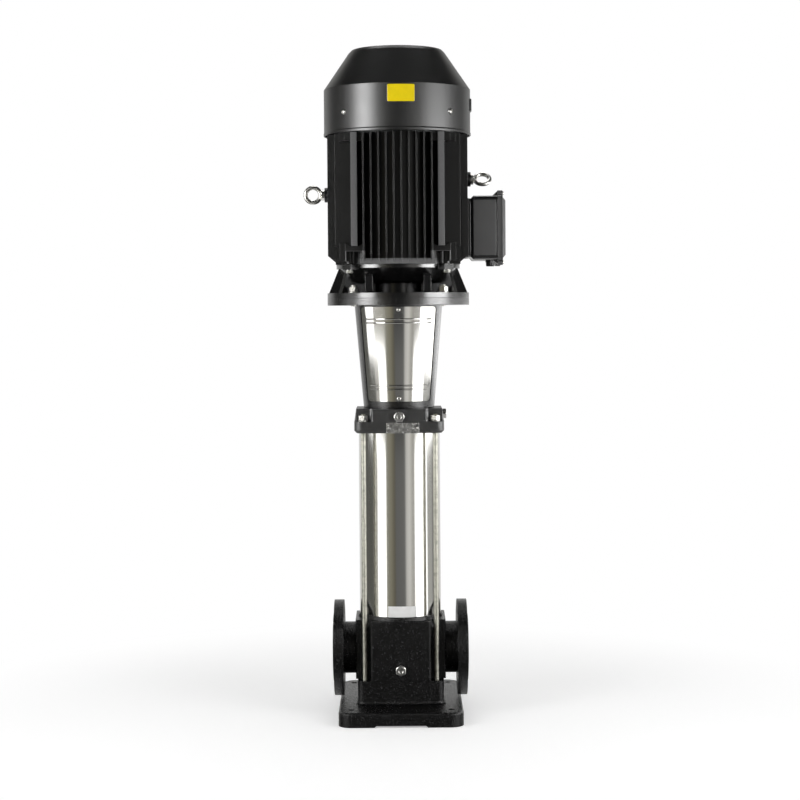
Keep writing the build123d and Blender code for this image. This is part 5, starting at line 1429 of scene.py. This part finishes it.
    def drum(self) -> None:
        """Stands the drum of cards and softboxes round the object, seen by reflections alone.

        Each softbox is a window between two azimuths that lean over with height, and glows more
        above the coupling. The cards are dark near the floor and overhead and light at the rear,
        and the lid over the drum is dark but for a lit panel behind the object.
        """
        graph = Surface("drum_cards")
        level = graph.axis(2)
        azimuth = graph.axis(0).math("ARCTAN2", -graph.axis(1)) * math.degrees(1)
        stops = [((place + 180) / 360, colour) for place, colour in self.shades]
        cards = graph.node("ShaderNodeValToRGB", {"stops": stops}, {0: (azimuth + 180) / 360}).outputs[0]
        behind = abs(azimuth).ease(*self.rear_start)
        shown = graph.mixed(behind * level.window(*self.rear_levels, 0.3), graph.glow(cards), graph.glow(self.rear))
        front = azimuth.window(-self.front_half, self.front_half, 3.0) * level.ease(*self.front_rise)
        shown = graph.mixed(front * self.front_share, shown, graph.glow(self.front_dark))
        under = (1 - level.window(*self.lit_levels, 0.12)) * (1 - behind)
        shown = graph.mixed(under * self.under_share, shown, graph.glow(NEAR_BLACK))
        lean = level.ease(*self.slant_start) * (1 - level.ease(*self.slant_end))
        low, high = (graph.glow(PURE_WHITE, strength) for strength in (self.low_glow, self.high_glow))
        bright = graph.mixed(level.ease(*self.glow_rise), low, high)
        foot = level.ease(*self.box_foot) * (1 - self.box_foot_share) + self.box_foot_share
        for box in self.boxes:
            held = (1 - level.ease(*self.box_fade) * box.fade) * (1 - level.ease(*self.box_top)) * foot
            shown = graph.mixed(box.window(azimuth, lean, self.box_soft) * held, shown, bright)
        graph.feed(graph.output.inputs["Surface"], shown)
        steps = 96
        angle = np.arange(steps) * TURN / steps
        ring = self.drum_radius * np.stack([np.sin(angle), -np.cos(angle)], axis=-1)
        wall = [np.column_stack([ring, np.full(steps, height)]) for height in self.drum_levels]
        faces = quads(2, steps, 0, False)
        self.hide(self.stand("drum", np.concatenate(wall), faces, graph))
        lid = Surface("drum_lid")
        panel = lid.axis(1).window(*self.lid_y, 0.1) * lid.axis(0).window(*self.lid_x, 0.1)
        lit = lid.mixed(panel, lid.glow(NEAR_BLACK), lid.glow(PURE_WHITE, self.lid_glow))
        lid.feed(lid.output.inputs["Surface"], lit)
        self.hide(self.stand("lid", wall[1], np.arange(steps)[None, :], lid))

    @staticmethod
    def hide(surroundings: bpy.types.Object) -> None:
        """Leaves a surface to glossy rays alone."""
        surroundings.visible_camera = surroundings.visible_diffuse = surroundings.visible_shadow = False
        surroundings.visible_transmission = surroundings.visible_volume_scatter = False

    def lamp(self, azimuth: float) -> None:
        """Stands one tall soft lamp that lights the object without showing in the metal."""
        turn = math.radians(azimuth)
        data = bpy.data.lights.new("soft_lamp", "AREA")
        data.shape, data.size, data.size_y = "RECTANGLE", self.lamp_width, self.lamp_height
        data.energy = self.lamp_glow * math.pi * self.lamp_width * self.lamp_height
        light = bpy.data.objects.new("soft_lamp", data)
        x, y = math.sin(turn) * self.lamp_radius, -math.cos(turn) * self.lamp_radius
        light.location = (x, y, self.lamp_height / 2)
        light.rotation_euler = (math.radians(90), 0.0, turn)
        light.visible_camera = light.visible_glossy = False
        bpy.context.scene.collection.objects.link(light)


def main() -> None:
    """Builds the studio and every sub-assembly in order."""
    logging.basicConfig(level=logging.INFO, format="%(message)s")
    Studio().build()
    dress_carried()
    for assembly in (Staybolts(), Plugs(), FlangeBolts(), CrossScrews(), Plates(), PortFaces(), BoxTrim()):
        assembly.build()


if __name__ == "__main__":
    main()
